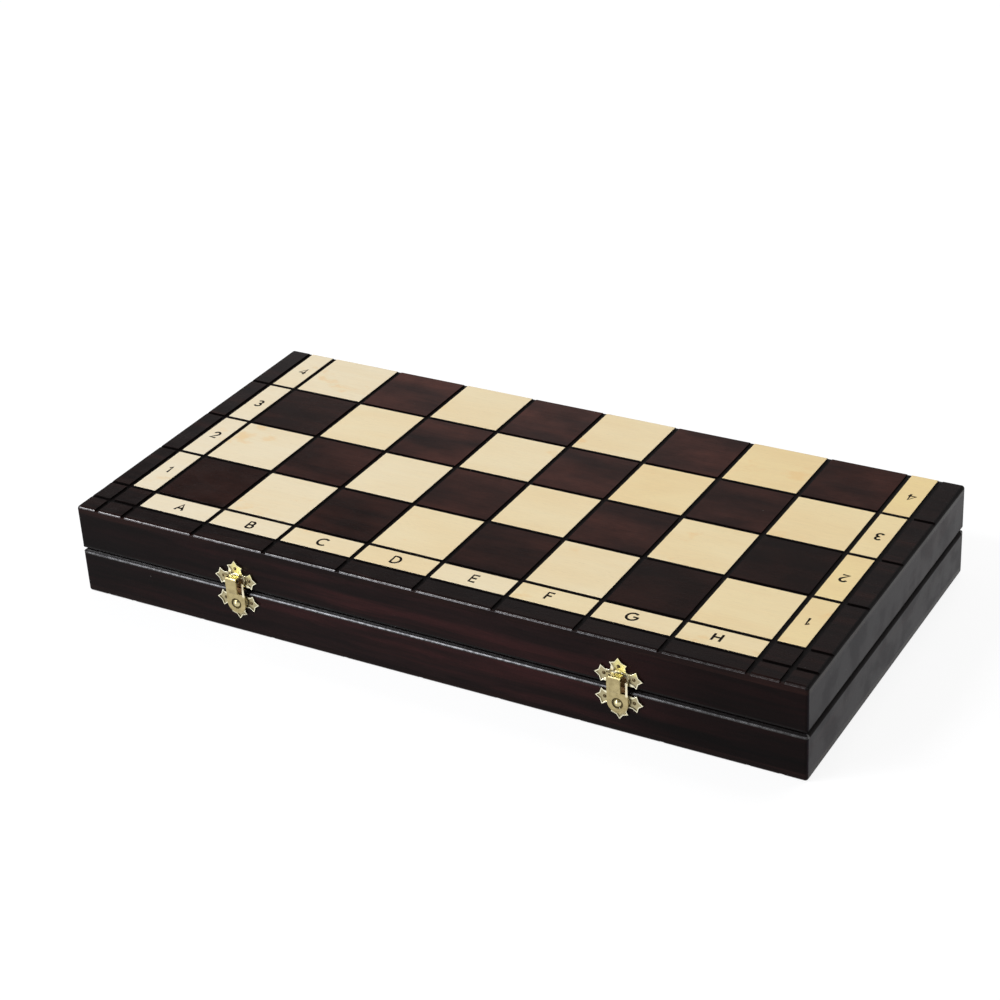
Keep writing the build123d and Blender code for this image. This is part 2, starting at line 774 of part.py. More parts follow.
# Each man: foot radius, height, share of the foot radius that the body keeps to
MEN = {
    "king": (KING_R, KING_H, 0.82, king),
    "queen": (QUEEN_R, QUEEN_H, 0.82, queen),
    "bishop": (BISHOP_R, BISHOP_H, 0.82, bishop),
    "knight": (KNIGHT_R, KNIGHT_H, 0.97, knight),
    "rook": (ROOK_R, ROOK_H, 0.82, rook),
    "pawn": (PAWN_R, PAWN_H, 0.82, pawn),
}
WELL_COLUMNS = (
    ("king", "queen"),
    ("bishop", "bishop", "pawn"),
    ("knight", "knight", "pawn"),
    ("rook", "rook", "pawn"),
    ("pawn", "pawn", "pawn"),
    ("pawn", "pawn"),
)
MAN_AXIS_Z = PANEL_T + TRAY_FLOOR + WELL_GAP + max(size[0] for size in MEN.values())
TRAY_TOP = MAN_AXIS_Z - TRAY_BELOW_AXIS
TRAY_L = INNER_L - 2 * LINING_GAP
TRAY_D = INNER_D - 2 * LINING_GAP


def lay_out():
    """Every man's colour, kind and plane, columns spread over the tray."""
    widths = [2 * (max(MEN[kind][0] for kind in column) + WELL_GAP) for column in WELL_COLUMNS]
    rib = (TRAY_L - 2 * sum(widths)) / (2 * len(widths) + 1)
    placed = []
    for end, colour in ((-1, "white"), (1, "black")):
        edge = TRAY_L / 2 - rib
        for column, width in zip(WELL_COLUMNS, widths):
            x = end * (edge - width / 2)
            edge -= width + rib
            total = sum(MEN[kind][1] + 2 * WELL_GAP for kind in column)
            web = (TRAY_D - total) / (len(column) + 1)
            y = CENTRE_Y - TRAY_D / 2 + web + WELL_GAP
            for kind in column:
                place = Plane(origin=(x, y, MAN_AXIS_Z), x_dir=(1, 0, 0), z_dir=(0, 0, 1))
                placed.append((colour, kind, place))
                y += MEN[kind][1] + 2 * WELL_GAP + web
    return placed


def storage_tray(placed):
    """Lined tray with a shaped well under every man."""
    with BuildPart() as tray:
        with BuildSketch(Plane.XY.offset(PANEL_T)):
            with Locations((0, CENTRE_Y)):
                Rectangle(TRAY_L, TRAY_D)
        extrude(amount=TRAY_TOP - PANEL_T)
        for colour, kind, place in placed:
            r_foot, height, body_share, make = MEN[kind]
            foot_zone = FOOT_H + 0.22 * r_foot
            across = Plane(origin=place.origin, x_dir=place.x_dir, z_dir=place.y_dir)
            with BuildSketch(across.offset(-WELL_GAP)):
                Circle(r_foot + WELL_GAP)
            extrude(amount=foot_zone + 2 * WELL_GAP, mode=Mode.SUBTRACT)
            with BuildSketch(across):
                Circle(body_share * r_foot + WELL_GAP)
            extrude(amount=height + WELL_GAP, mode=Mode.SUBTRACT)
    return tray.part


def lid_liner():
    """Thin lined board glued inside the lid."""
    with BuildPart() as liner:
        with BuildSketch(Plane.XY.offset(HEIGHT - PANEL_T - LINER_T)):
            with Locations((0, CENTRE_Y)):
                Rectangle(TRAY_L, TRAY_D)
        extrude(amount=LINER_T)
    return liner.part


# Halves of the board: panel, tiles and rails
SQUARES = [(column, row) for column in range(1, FILES + 1) for row in range(1, RANKS + 1)]
DARK_CELLS = [cell for cell in SQUARES if sum(cell) % 2 == 0]
LIGHT_CELLS = [cell for cell in SQUARES if sum(cell) % 2 == 1]
LABEL_CELLS = [(column, 0) for column in range(1, FILES + 1)]
LABEL_CELLS += [(column, row) for column in (0, FILES + 1) for row in range(1, RANKS + 1)]

for owner, face in (("base", BASE_FACE), ("lid", LID_FACE)):
    blank = slab(face)
    save(panel(face, blank), owner + "_panel")
    save(tiles(face, blank, LIGHT_CELLS), owner + "_light_squares")
    save(tiles(face, blank, DARK_CELLS), owner + "_dark_squares")
    save(tiles(face, blank, LABEL_CELLS), owner + "_label_tiles")
    ring = rail_ring(face)
    right_side = "plus" if owner == "lid" else "minus"
    left_side = "minus" if owner == "lid" else "plus"
    save(rail(face, ring, left_side), owner + "_left_rail")
    save(rail(face, ring, right_side), owner + "_right_rail")
    save(back_rail(rail(face, ring, "back"), owner), owner + "_back_rail")
    front_bar = rail(face, ring, "front")
    if owner == "base":
        save(front_rail(front_bar, -PLATE_SIDE_DOWN, -PLATE_END_DOWN, -RIVET_DOWN), "base_front_rail")
    else:
        save(front_rail(front_bar, CATCH_SIDE_UP, CATCH_END_UP), "lid_front_rail")
    save(screw_group(owner), owner + "_hinge_screws")

# Hinges
for name, x in (("left", -HINGE_X), ("right", HINGE_X)):
    save(leaf(x, "base"), name + "_hinge_base_leaf")
    save(leaf(x, "lid"), name + "_hinge_lid_leaf")
    save(hinge_pin(x), name + "_hinge_pin")

# Latches
for name, x in zip(("left", "right"), LATCH_X):
    save(catch_plate(x), name + "_catch_plate")
    save(latch_plate(x), name + "_latch_plate")
    save(lever(x), name + "_latch_lever")
    save(rivet(x), name + "_latch_rivet")
save(nail_group(CATCH_SIDE_UP, CATCH_END_UP), "catch_plate_nails")
save(nail_group(-PLATE_SIDE_DOWN, -PLATE_END_DOWN), "latch_plate_nails")

# Inside: tray, lining and chessmen
PLACED = lay_out()
save(storage_tray(PLACED), "storage_tray")
save(lid_liner(), "lid_liner")
for colour in ("white", "black"):
    own = [(kind, place) for tint, kind, place in PLACED if tint == colour]
    for kind in ("king", "queen", "bishop", "knight", "rook"):
        places = [place for other, place in own if other == kind]
        for index, place in enumerate(places):
            number = "_" + str(index + 1) if len(places) > 1 else ""
            save(MEN[kind][3](place), colour + "_" + kind + number)
    with BuildPart() as pawns:
        for kind, place in own:
            if kind == "pawn":
                add(pawn(place))
    save(pawns.part, colour + "_pawns")
    with BuildPart() as felts:
        for kind, place in own:
            add(felt(place, MEN[kind][0]))
    save(felts.part, colour + "_felts")
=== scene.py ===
"""Looks of the folding chess box: woods, brass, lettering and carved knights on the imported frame.

Metres, in the frame of the CAD part: closed box, front towards -Y, playing board upwards.
"""

import json
import math

import bmesh
import bpy
import numpy as np
from mathutils import Matrix, Vector

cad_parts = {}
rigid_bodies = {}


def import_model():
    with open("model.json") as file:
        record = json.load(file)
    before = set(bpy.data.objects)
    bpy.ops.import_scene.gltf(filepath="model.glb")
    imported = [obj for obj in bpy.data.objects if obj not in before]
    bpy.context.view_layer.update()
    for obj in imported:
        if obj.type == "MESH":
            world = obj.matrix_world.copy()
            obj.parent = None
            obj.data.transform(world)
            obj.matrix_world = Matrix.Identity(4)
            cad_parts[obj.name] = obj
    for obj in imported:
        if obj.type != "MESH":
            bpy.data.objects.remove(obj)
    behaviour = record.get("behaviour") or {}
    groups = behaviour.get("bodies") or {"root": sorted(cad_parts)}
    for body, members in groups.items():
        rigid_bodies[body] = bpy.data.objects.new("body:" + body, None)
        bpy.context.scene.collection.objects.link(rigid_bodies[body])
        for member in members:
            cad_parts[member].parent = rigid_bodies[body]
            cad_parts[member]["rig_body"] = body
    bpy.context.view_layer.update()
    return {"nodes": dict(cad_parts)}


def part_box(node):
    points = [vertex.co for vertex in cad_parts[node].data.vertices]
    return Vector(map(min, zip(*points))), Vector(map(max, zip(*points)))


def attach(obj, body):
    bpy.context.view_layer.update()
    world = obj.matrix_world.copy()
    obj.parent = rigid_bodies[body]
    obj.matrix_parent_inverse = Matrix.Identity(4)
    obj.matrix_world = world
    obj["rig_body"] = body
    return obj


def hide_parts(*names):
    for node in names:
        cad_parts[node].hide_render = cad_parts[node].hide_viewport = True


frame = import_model()
NODES = frame["nodes"]

MM = 0.001
WELD = 1e-6

# The box and its inlaid board, as in the CAD part
FILES = 8
RANKS = 4
SQUARE = 42.8 * MM
STRIP = 16.3 * MM
BORDER = 12.5 * MM
GROOVE_D = 0.9 * MM
GROOVE_HALF = 1.3 * MM
RIM_R = 2.4 * MM
FACE_R = 1.6 * MM
CORNER_R = 1.5 * MM
SEAM_GAP = 0.2 * MM
INLAY_SINK = 0.06 * MM
TILE_EDGE = 0.16 * MM

# Burnt lettering
LETTER_H = 5.95 * MM
LETTER_W = 1.3 * MM

# Latches: the rivets' places, the painted ring of shade round a rivet's head and the window beside
# the hood, where shade is painted, measured across from the rivet's axis and up from the seam
LATCH_X = (-103.15 * MM, 107.95 * MM)
LATCH_EDGE = 0.24 * MM
LEVER_HALF = 5.3 * MM
RIVET_DOWN = 7.1 * MM
RING_IN = 2.0 * MM
RING_OUT = 3.1 * MM
WINDOW_HALF = 4.6 * MM
WINDOW_LOW = -1.0 * MM
WINDOW_HIGH = 7.2 * MM
TOP_STAR = 7.6 * MM

# Painted shade behind a lever, brown like brass in its shadow: half its height, half its width and how far in
# it runs
LEVER_SHADE_HALF = 2.7 * MM
LEVER_SHADE_WIDE = 3.3 * MM
LEVER_SHADE_DEEP = 1.4 * MM

# Depths of the latches' faces in front of the box
DISH_FLOOR = 0.52 * MM
DISH_TOP = 0.80 * MM
LIP_LOW = 0.90 * MM
LIP_HIGH = 0.97 * MM
PLATE_TOP = 1.1 * MM
WINDOW_FLOOR = 1.6 * MM
WINDOW_TOP = 2.2 * MM
HOOD_BACK = 2.3 * MM

# Knights, from the foot's axis
KNIGHT_R = 13.5 * MM
KNIGHT_H = 52.0 * MM
FELT_T = 0.8 * MM
VOXEL = 0.36 * MM
EASE_ROUNDS = 30

BOX_LOW = Vector(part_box("base_panel")[0])
BOX_HIGH = Vector(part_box("lid_panel")[1])
CENTRE = (BOX_LOW + BOX_HIGH) / 2
SEAM_Z = CENTRE.z
FRONT_Y = BOX_LOW.y


class Tree:
    """Adds and links shader nodes in one node tree."""

    def __init__(self, tree):
        self.tree = tree

    def feed(self, socket, value):
        """Links a socket to an output, or sets it to a plain value."""
        if isinstance(value, bpy.types.NodeSocket):
            self.tree.links.new(value, socket)
        else:
            socket.default_value = value

    def node(self, kind, inputs=None, **settings):
        """New node with its settings made and its named inputs fed."""
        made = self.tree.nodes.new(kind)
        for name, value in settings.items():
            setattr(made, name, value)
        for name, value in (inputs or {}).items():
            self.feed(made.inputs[name], value)
        return made

    def math(self, operation, *values, clamp=False):
        """Result of one operation on numbers."""
        made = self.node("ShaderNodeMath", operation=operation, use_clamp=clamp)
        for socket, value in zip(made.inputs, values):
            self.feed(socket, value)
        return made.outputs[0]

    def times(self, product, *factors):
        """Product of all the numbers given."""
        for factor in factors:
            product = self.math("MULTIPLY", product, factor)
        return product

    def vector(self, operation, *values):
        """Result of one operation on vectors."""
        made = self.node("ShaderNodeVectorMath", operation=operation)
        for socket, value in zip(made.inputs, values):
            self.feed(socket, value)
        return made.outputs[0]

    def tinted(self, colour, factor):
        """Colour times one number."""
        return self.vector("MULTIPLY", colour, self.join(factor, factor, factor))

    def mix(self, factor, first, second):
        """Blend of two colours."""
        made = self.node("ShaderNodeMix", data_type="RGBA")
        self.feed(made.inputs[0], factor)
        self.feed(made.inputs[6], first)
        self.feed(made.inputs[7], second)
        return made.outputs[2]

    def span(self, value, low, high, out_low=0.0, out_high=1.0):
        """Smooth step from one level to another while the value goes from low to high."""
        made = self.node("ShaderNodeMapRange", interpolation_type="SMOOTHSTEP")
        names = ("Value", "From Min", "From Max", "To Min", "To Max")
        for name, given in zip(names, (value, low, high, out_low, out_high)):
            self.feed(made.inputs[name], given)
        return made.outputs[0]

    def noise(self, vector, scale, detail=3.0, roughness=0.55):
        """Noise with that many lumps to a metre, the same each way or one number for each axis."""
        each_way = (scale,) * 3 if isinstance(scale, float) else scale
        stretched = self.vector("MULTIPLY", vector, each_way)
        settings = {"Vector": stretched, "Scale": 1.0, "Detail": detail, "Roughness": roughness}
        return self.node("ShaderNodeTexNoise", settings).outputs[0]

    def split(self, vector):
        """The three parts of a vector or colour."""
        return self.node("ShaderNodeSeparateXYZ", {"Vector": vector}).outputs

    def join(self, x, y, z):
        """Vector from three numbers."""
        made = self.node("ShaderNodeCombineXYZ")
        for socket, value in zip(made.inputs, (x, y, z)):
            self.feed(socket, value)
        return made.outputs[0]

    def attribute(self, name):
        """Value of a mesh's own attribute."""
        return self.node("ShaderNodeAttribute", attribute_name=name).outputs["Fac"]

    def place(self):
        """Place of the point in the object's own frame, in metres."""
        return self.node("ShaderNodeTexCoord").outputs["Object"]


def new_group(name, inputs, outputs):
    """Empty shader node group with its tree, its input sockets and its output sockets."""
    group = bpy.data.node_groups.new(name, "ShaderNodeTree")
    for label, kind in inputs:
        group.interface.new_socket(label, in_out="INPUT", socket_type=kind)
    for label in outputs:
        group.interface.new_socket(label, in_out="OUTPUT", socket_type="NodeSocketFloat")
    t = Tree(group)
    into = t.node("NodeGroupInput").outputs
    out = t.node("NodeGroupOutput").inputs
    return group, t, into, out


def grain_group():
    """Wood figure with the grain along x: streaks, clouds, long bands, fine fibre and open pores."""
    inputs = [("Vector", "NodeSocketVector"), ("Seed", "NodeSocketFloat")]
    group, t, into, out = new_group("grain", inputs, ("Streak", "Figure", "Long", "Fibre", "Pore"))
    seed = into["Seed"]
    shift = t.join(t.times(seed, 3.1), t.times(seed, 1.7), t.times(seed, 0.9))
    place = t.vector("ADD", into["Vector"], shift)
    wander = t.math("SUBTRACT", t.noise(place, (9.0, 22.0, 22.0), 2.0), 0.5)
    bent = t.vector("ADD", place, t.join(0.0, t.times(wander, 0.012), t.times(wander, 0.012)))
    t.feed(out["Streak"], t.span(t.noise(bent, (16.0, 300.0, 300.0), 4.0, 0.6), 0.34, 0.68))
    t.feed(out["Figure"], t.span(t.noise(bent, (14.0, 45.0, 45.0), 2.0), 0.30, 0.72))
    t.feed(out["Long"], t.span(t.noise(bent, (5.0, 95.0, 95.0), 4.0, 0.6), 0.46, 0.72))
    t.feed(out["Fibre"], t.noise(bent, (70.0, 2600.0, 2600.0), 2.0))
    t.feed(out["Pore"], t.span(t.noise(bent, (260.0, 3400.0, 3400.0), 1.0), 0.66, 0.76))
    return group


def lacquer_group():
    """Uneven lacquer: a height for the bump and a small change of roughness."""
    group, t, into, out = new_group("lacquer", [("Vector", "NodeSocketVector")], ("Height", "Dull"))
    place = into["Vector"]
    ripple = t.noise(place, 420.0, 2.0)
    speck = t.noise(place, 1500.0, 2.0)
    t.feed(out["Height"], t.math("ADD", t.times(ripple, 0.7), t.times(speck, 0.3)))
    t.feed(out["Dull"], t.span(t.noise(place, 60.0, 3.0), 0.35, 0.70))
    return group


def dust_group():
    """Rare pale specks of dust, about a third of a millimetre."""
    group, t, into, out = new_group("dust", [("Vector", "NodeSocketVector")], ("Speck",))
    cells = t.node("ShaderNodeTexVoronoi", {"Vector": into["Vector"], "Scale": 260.0}, feature="F1")
    near = t.span(cells.outputs["Distance"], 0.07, 0.04)
    rare = t.math("GREATER_THAN", t.split(cells.outputs["Color"])[0], 0.985)
    t.feed(out["Speck"], t.times(near, rare))
    return group


def edge_group():
    """How far a point lies inside the rounded edges of the box: 0 on the flat faces, 0.7 at mid edge.

    On a round edge between two faces a point is nearer than the radius to both of them, so the
    mark is 1 minus the larger of the two distances, as a share of the radius. Rim is for the
    edges along the joint of the halves and Face for those of the playing faces, each on the long
    sides; the two with End are the same on the short sides; Corner is for upright edges. Depth
    is the distance below the playing face and Inset that from the nearest side of the box.
    """
    names = ("Rim", "Face", "End Rim", "End Face", "Corner", "Depth", "Inset")
    group, t, into, out = new_group("edges", [("Vector", "NodeSocketVector")], names)
    x, y, z = t.split(into["Vector"])
    from_x = t.math("SUBTRACT", BOX_HIGH.x, t.math("ABSOLUTE", x))
    off_centre = t.math("ABSOLUTE", t.math("SUBTRACT", y, CENTRE.y))
    from_y = t.math("SUBTRACT", BOX_HIGH.y - CENTRE.y, off_centre)
    off_middle = t.math("ABSOLUTE", t.math("SUBTRACT", z, SEAM_Z))
    from_seam = t.math("SUBTRACT", off_middle, SEAM_GAP / 2)
    depth = t.math("SUBTRACT", SEAM_Z - BOX_LOW.z, off_middle)

    def inside(first, second, radius):
        share = t.math("DIVIDE", t.math("MAXIMUM", first, second), radius)
        return t.math("SUBTRACT", 1.0, share, clamp=True)

    t.feed(out["Rim"], inside(from_y, from_seam, RIM_R))
    t.feed(out["Face"], inside(from_y, depth, FACE_R))
    t.feed(out["End Rim"], inside(from_x, from_seam, RIM_R))
    t.feed(out["End Face"], inside(from_x, depth, FACE_R))
    t.feed(out["Corner"], inside(from_x, from_y, CORNER_R))
    t.feed(out["Depth"], depth)
    t.feed(out["Inset"], t.math("MINIMUM", from_x, from_y))
    return group


GRAIN = grain_group()
LACQUER = lacquer_group()
DUST = dust_group()
EDGES = edge_group()


def start_material(name):
    """New material with its tree helper and its main shader."""
    made = bpy.data.materials.new(name)
    made.use_nodes = True
    t = Tree(made.node_tree)
    shader = made.node_tree.nodes["Principled BSDF"]
    return made, t, shader


def use_group(t, group, **values):
    """Outputs of a node group placed in a tree with its inputs fed."""
    made = t.node("ShaderNodeGroup", node_tree=group)
    for name, value in values.items():
        t.feed(made.inputs[name], value)
    return made.outputs


def bumped(t, height, distance, normal=None):
    """Normal output of a bump of that height in metres."""
    made = t.node("ShaderNodeBump", {"Height": height, "Distance": distance, "Strength": 1.0})
    if normal is not None:
        t.feed(made.inputs["Normal"], normal)
    return made.outputs[0]


# Dark stain of the grooves and pores, also laid on the seam's and short sides' rounded edges as painted shade
STAIN = (0.0040, 0.0028, 0.0028, 1.0)
DUST_GREY = (0.35, 0.33, 0.30, 1.0)
# Painted shade behind the levers, brown like brass in their shadow
LEVER_SHADE_BROWN = (0.30, 0.17, 0.07, 1.0)
COAT_IOR = 1.6
COAT_ROUGHNESS = 0.24


def box_edges(t, shader, place, colour, shine):
    """Marks of the box's grooves and edges: gives back its colour and roughness with them.

    The grooves cut into the faces are stained dark, and the rounded edges of the short sides and
    of the seam are painted dark as shade. Behind each lever the wood is painted brown, a painted
    shade like brass in the lever's shadow. A glossier, mottled coat lies on the rounded front
    and back edges: on the faces' edges between the file grooves, and on the base's rim beside
    the levers.
    """
    x, y, z = t.split(place)
    edges = use_group(t, EDGES, Vector=place)
    rounded = t.math("MAXIMUM", edges["Face"], t.math("MAXIMUM", edges["End Face"], edges["Corner"]))
    groove = t.times(
        t.span(edges["Depth"], 0.10 * MM, 0.18 * MM),
        t.math("LESS_THAN", edges["Depth"], GROOVE_D + 0.3 * MM),
        t.math("LESS_THAN", rounded, 0.02),
        t.math("GREATER_THAN", edges["Inset"], 0.05 * MM),
    )
    # Painted shade: the rounded edges of the short sides and of the seam are darkened to the stain's colour
    end = t.span(t.math("MAXIMUM", edges["End Rim"], edges["End Face"]), 0.01, 0.12)
    seam_and_end_shade = t.math("MAXIMUM", end, t.span(edges["Rim"], 0.01, 0.12))
    colour = t.mix(t.math("MAXIMUM", groove, seam_and_end_shade), colour, STAIN)
    shine = t.math("ADD", shine, t.times(t.math("MAXIMUM", groove, end), 0.3))
    rim = t.times(
        t.span(edges["Rim"], 0.02, 0.14),
        t.span(edges["Rim"], 0.66, 0.48),
        t.math("LESS_THAN", z, SEAM_Z),
    )
    for latch_x in LATCH_X:
        off = t.math("ABSOLUTE", t.math("SUBTRACT", x, latch_x))
        rim = t.times(rim, t.math("GREATER_THAN", off, LEVER_HALF))
        # Painted shade: behind each lever the wood is painted brown, like brass in the lever's shadow
        lever_shade = t.times(
            t.math("LESS_THAN", off, LEVER_SHADE_WIDE),
            t.math("LESS_THAN", y, FRONT_Y + LEVER_SHADE_DEEP),
            t.math("LESS_THAN", t.math("ABSOLUTE", t.math("SUBTRACT", z, SEAM_Z)), LEVER_SHADE_HALF),
        )
        colour = t.mix(lever_shade, colour, LEVER_SHADE_BROWN)
    across = t.math("ABSOLUTE", x)
    off_file_line = t.math("PINGPONG", across, SQUARE / 2)
    off_outer_line = t.math("ABSOLUTE", t.math("SUBTRACT", across, FILES / 2 * SQUARE + STRIP))
    unbroken = t.math("GREATER_THAN", t.math("MINIMUM", off_file_line, off_outer_line), GROOVE_HALF)
    gloss = t.math("MAXIMUM", rim, t.times(t.span(edges["Face"], 0.30, 0.55), unbroken))
    mottle = t.span(t.noise(place, 450.0, 3.0), 0.35, 0.60, 0.45, 1.0)
    t.feed(shader.inputs["Coat Weight"], t.times(gloss, mottle))
    shader.inputs["Coat IOR"].default_value = COAT_IOR
    shader.inputs["Coat Roughness"].default_value = COAT_ROUGHNESS
    return colour, shine


def lacquered_wood(
    name, dark, light, red, along="X", rough=0.30, ior=1.14, tiles=False, box=True, painted_mid_reflection=False
):
    """Lacquered wood: two grain tones, reddish clouds and pores under an uneven coat.

    Tiles have their own seed, tone and blotches. The long rails can have a painted reflection:
    the tone grows from the left end to the middle and falls towards the right end. With box, the marks of its
    edges are added.
    """
    made, t, shader = start_material(name)
    place = t.place()
    x, y, z = t.split(place)
    run = place if along == "X" else t.join(y, x, z)
    seed = t.attribute("tile_seed") if tiles else 0.0
    grain = use_group(t, GRAIN, Vector=run, Seed=seed)
    colour = t.mix(t.times(grain["Streak"], 0.85), (*dark, 1), (*light, 1))
    colour = t.mix(grain["Figure"] if tiles or not box else grain["Long"], colour, (*red, 1))
    colour = t.tinted(colour, t.span(grain["Fibre"], 0.35, 0.65, 0.85, 1.10))
    if tiles:
        blot = t.span(t.noise(place, (55.0, 75.0, 55.0), 3.0, 0.6), 0.34, 0.64, 0.84, 1.16)
        tone = t.math("MULTIPLY_ADD", t.attribute("tile_tone"), 1.15, 0.75)
        colour = t.tinted(colour, t.times(tone, blot))
    # Painted reflection: the long rails are lighter in the middle and darker towards both ends
    if painted_mid_reflection:
        tone = t.times(t.span(x, -0.19, -0.03, 0.6, 1.4), t.span(x, 0.06, 0.16, 1.0, 0.25))
        colour = t.tinted(colour, tone)
    colour = t.mix(t.times(grain["Pore"], 0.5), colour, STAIN)
    dust = use_group(t, DUST, Vector=place)
    colour = t.mix(t.times(dust["Speck"], 0.35), colour, DUST_GREY)
    coat = use_group(t, LACQUER, Vector=place)
    shine = t.span(coat["Dull"], 0.0, 1.0, rough, rough + 0.08)
    if box:
        colour, shine = box_edges(t, shader, place, colour, shine)
    t.feed(shader.inputs["Base Color"], colour)
    t.feed(shader.inputs["Roughness"], shine)
    shader.inputs["IOR"].default_value = ior
    height = t.math("SUBTRACT", t.times(grain["Fibre"], 0.5), t.times(grain["Pore"], 0.8))
    normal = bumped(t, height, 0.012 * MM)
    normal = bumped(t, coat["Height"], 0.03 * MM, normal)
    t.feed(shader.inputs["Normal"], normal)
    return made


WARM_STAIN = (0.84, 0.56, 0.24, 1.0)
FLECK_BROWN = (0.42, 0.27, 0.13, 1.0)
SATIN_IOR = 1.42


def pale_wood(name, pale, warm, deep, tiles=True, rough=0.34):
    """Satin pale wood: cloudy warm figure, faint fibre lines, warm stains and fine flecks.

    Tiles have their own seed and tone, and walls stained dark below the inlay's top.
    """
    made, t, shader = start_material(name)
    place = t.place()
    seed = t.attribute("tile_seed") if tiles else 0.0
    tone = t.attribute("tile_tone") if tiles else 0.4
    grain = use_group(t, GRAIN, Vector=place, Seed=seed)
    colour = t.mix(tone, (*pale, 1), (*warm, 1))
    cloud = t.times(grain["Figure"], t.span(tone, 0.0, 1.0, 0.16, 0.60))
    colour = t.mix(cloud, colour, (*deep, 1))
    colour = t.mix(t.times(grain["Streak"], 0.10), colour, (*deep, 1))
    colour = t.tinted(colour, t.span(grain["Fibre"], 0.35, 0.65, 0.975, 1.015))
    stain = t.span(t.noise(place, (34.0, 48.0, 34.0), 4.0, 0.62), 0.60, 0.72)
    colour = t.mix(t.times(stain, 0.60), colour, WARM_STAIN)
    colour = t.mix(t.times(grain["Pore"], 0.22), colour, FLECK_BROWN)
    coat = use_group(t, LACQUER, Vector=place)
    shine = t.span(coat["Dull"], 0.0, 1.0, rough, rough + 0.1)
    if tiles:
        depth = use_group(t, EDGES, Vector=place)["Depth"]
        wall = t.span(depth, INLAY_SINK + 0.03 * MM, INLAY_SINK + 0.09 * MM)
        colour = t.mix(wall, colour, STAIN)
        shine = t.math("ADD", shine, t.times(wall, 0.2))
    t.feed(shader.inputs["Base Color"], colour)
    t.feed(shader.inputs["Roughness"], shine)
    shader.inputs["IOR"].default_value = SATIN_IOR
    normal = bumped(t, grain["Fibre"], 0.006 * MM)
    normal = bumped(t, coat["Height"], 0.02 * MM, normal)
    t.feed(shader.inputs["Normal"], normal)
    return made


def brass(name, bright, dull, rough):
    """Plain brass of the hinges and screws: cloudy tarnish and small dents."""
    made, t, shader = start_material(name)
    place = t.place()
    cloud = t.span(t.noise(place, 240.0, 3.0), 0.35, 0.70)
    t.feed(shader.inputs["Base Color"], t.mix(t.times(cloud, 0.6), (*bright, 1), (*dull, 1)))
    shader.inputs["Metallic"].default_value = 1.0
    t.feed(shader.inputs["Roughness"], t.span(cloud, 0.0, 1.0, rough, rough + 0.12))
    t.feed(shader.inputs["Normal"], bumped(t, t.noise(place, 900.0, 3.0), 0.03 * MM))
    return made


# Colours of the latches' marks: lips, strip and top star carry painted highlights and reflection, the ring
# and window painted shade
LIP_HIGHLIGHT = (0.88, 0.84, 0.62, 1.0)
DISH_BROWN = (0.40, 0.355, 0.215, 1.0)
SHADE_BROWN_DARK = (0.10, 0.055, 0.022, 1.0)
SHADE_BROWN_PALE = (0.36, 0.22, 0.09, 1.0)
WINDOW_SHADE = (0.022, 0.012, 0.006, 1.0)
FOOT_BROWN = (0.20, 0.165, 0.075, 1.0)
STRIP_HIGHLIGHT = (0.86, 0.79, 0.58, 1.0)
STAR_REFLECTION_YELLOW = (0.92, 0.84, 0.34, 1.0)
RING_SHADE = (0.075, 0.058, 0.024, 1.0)


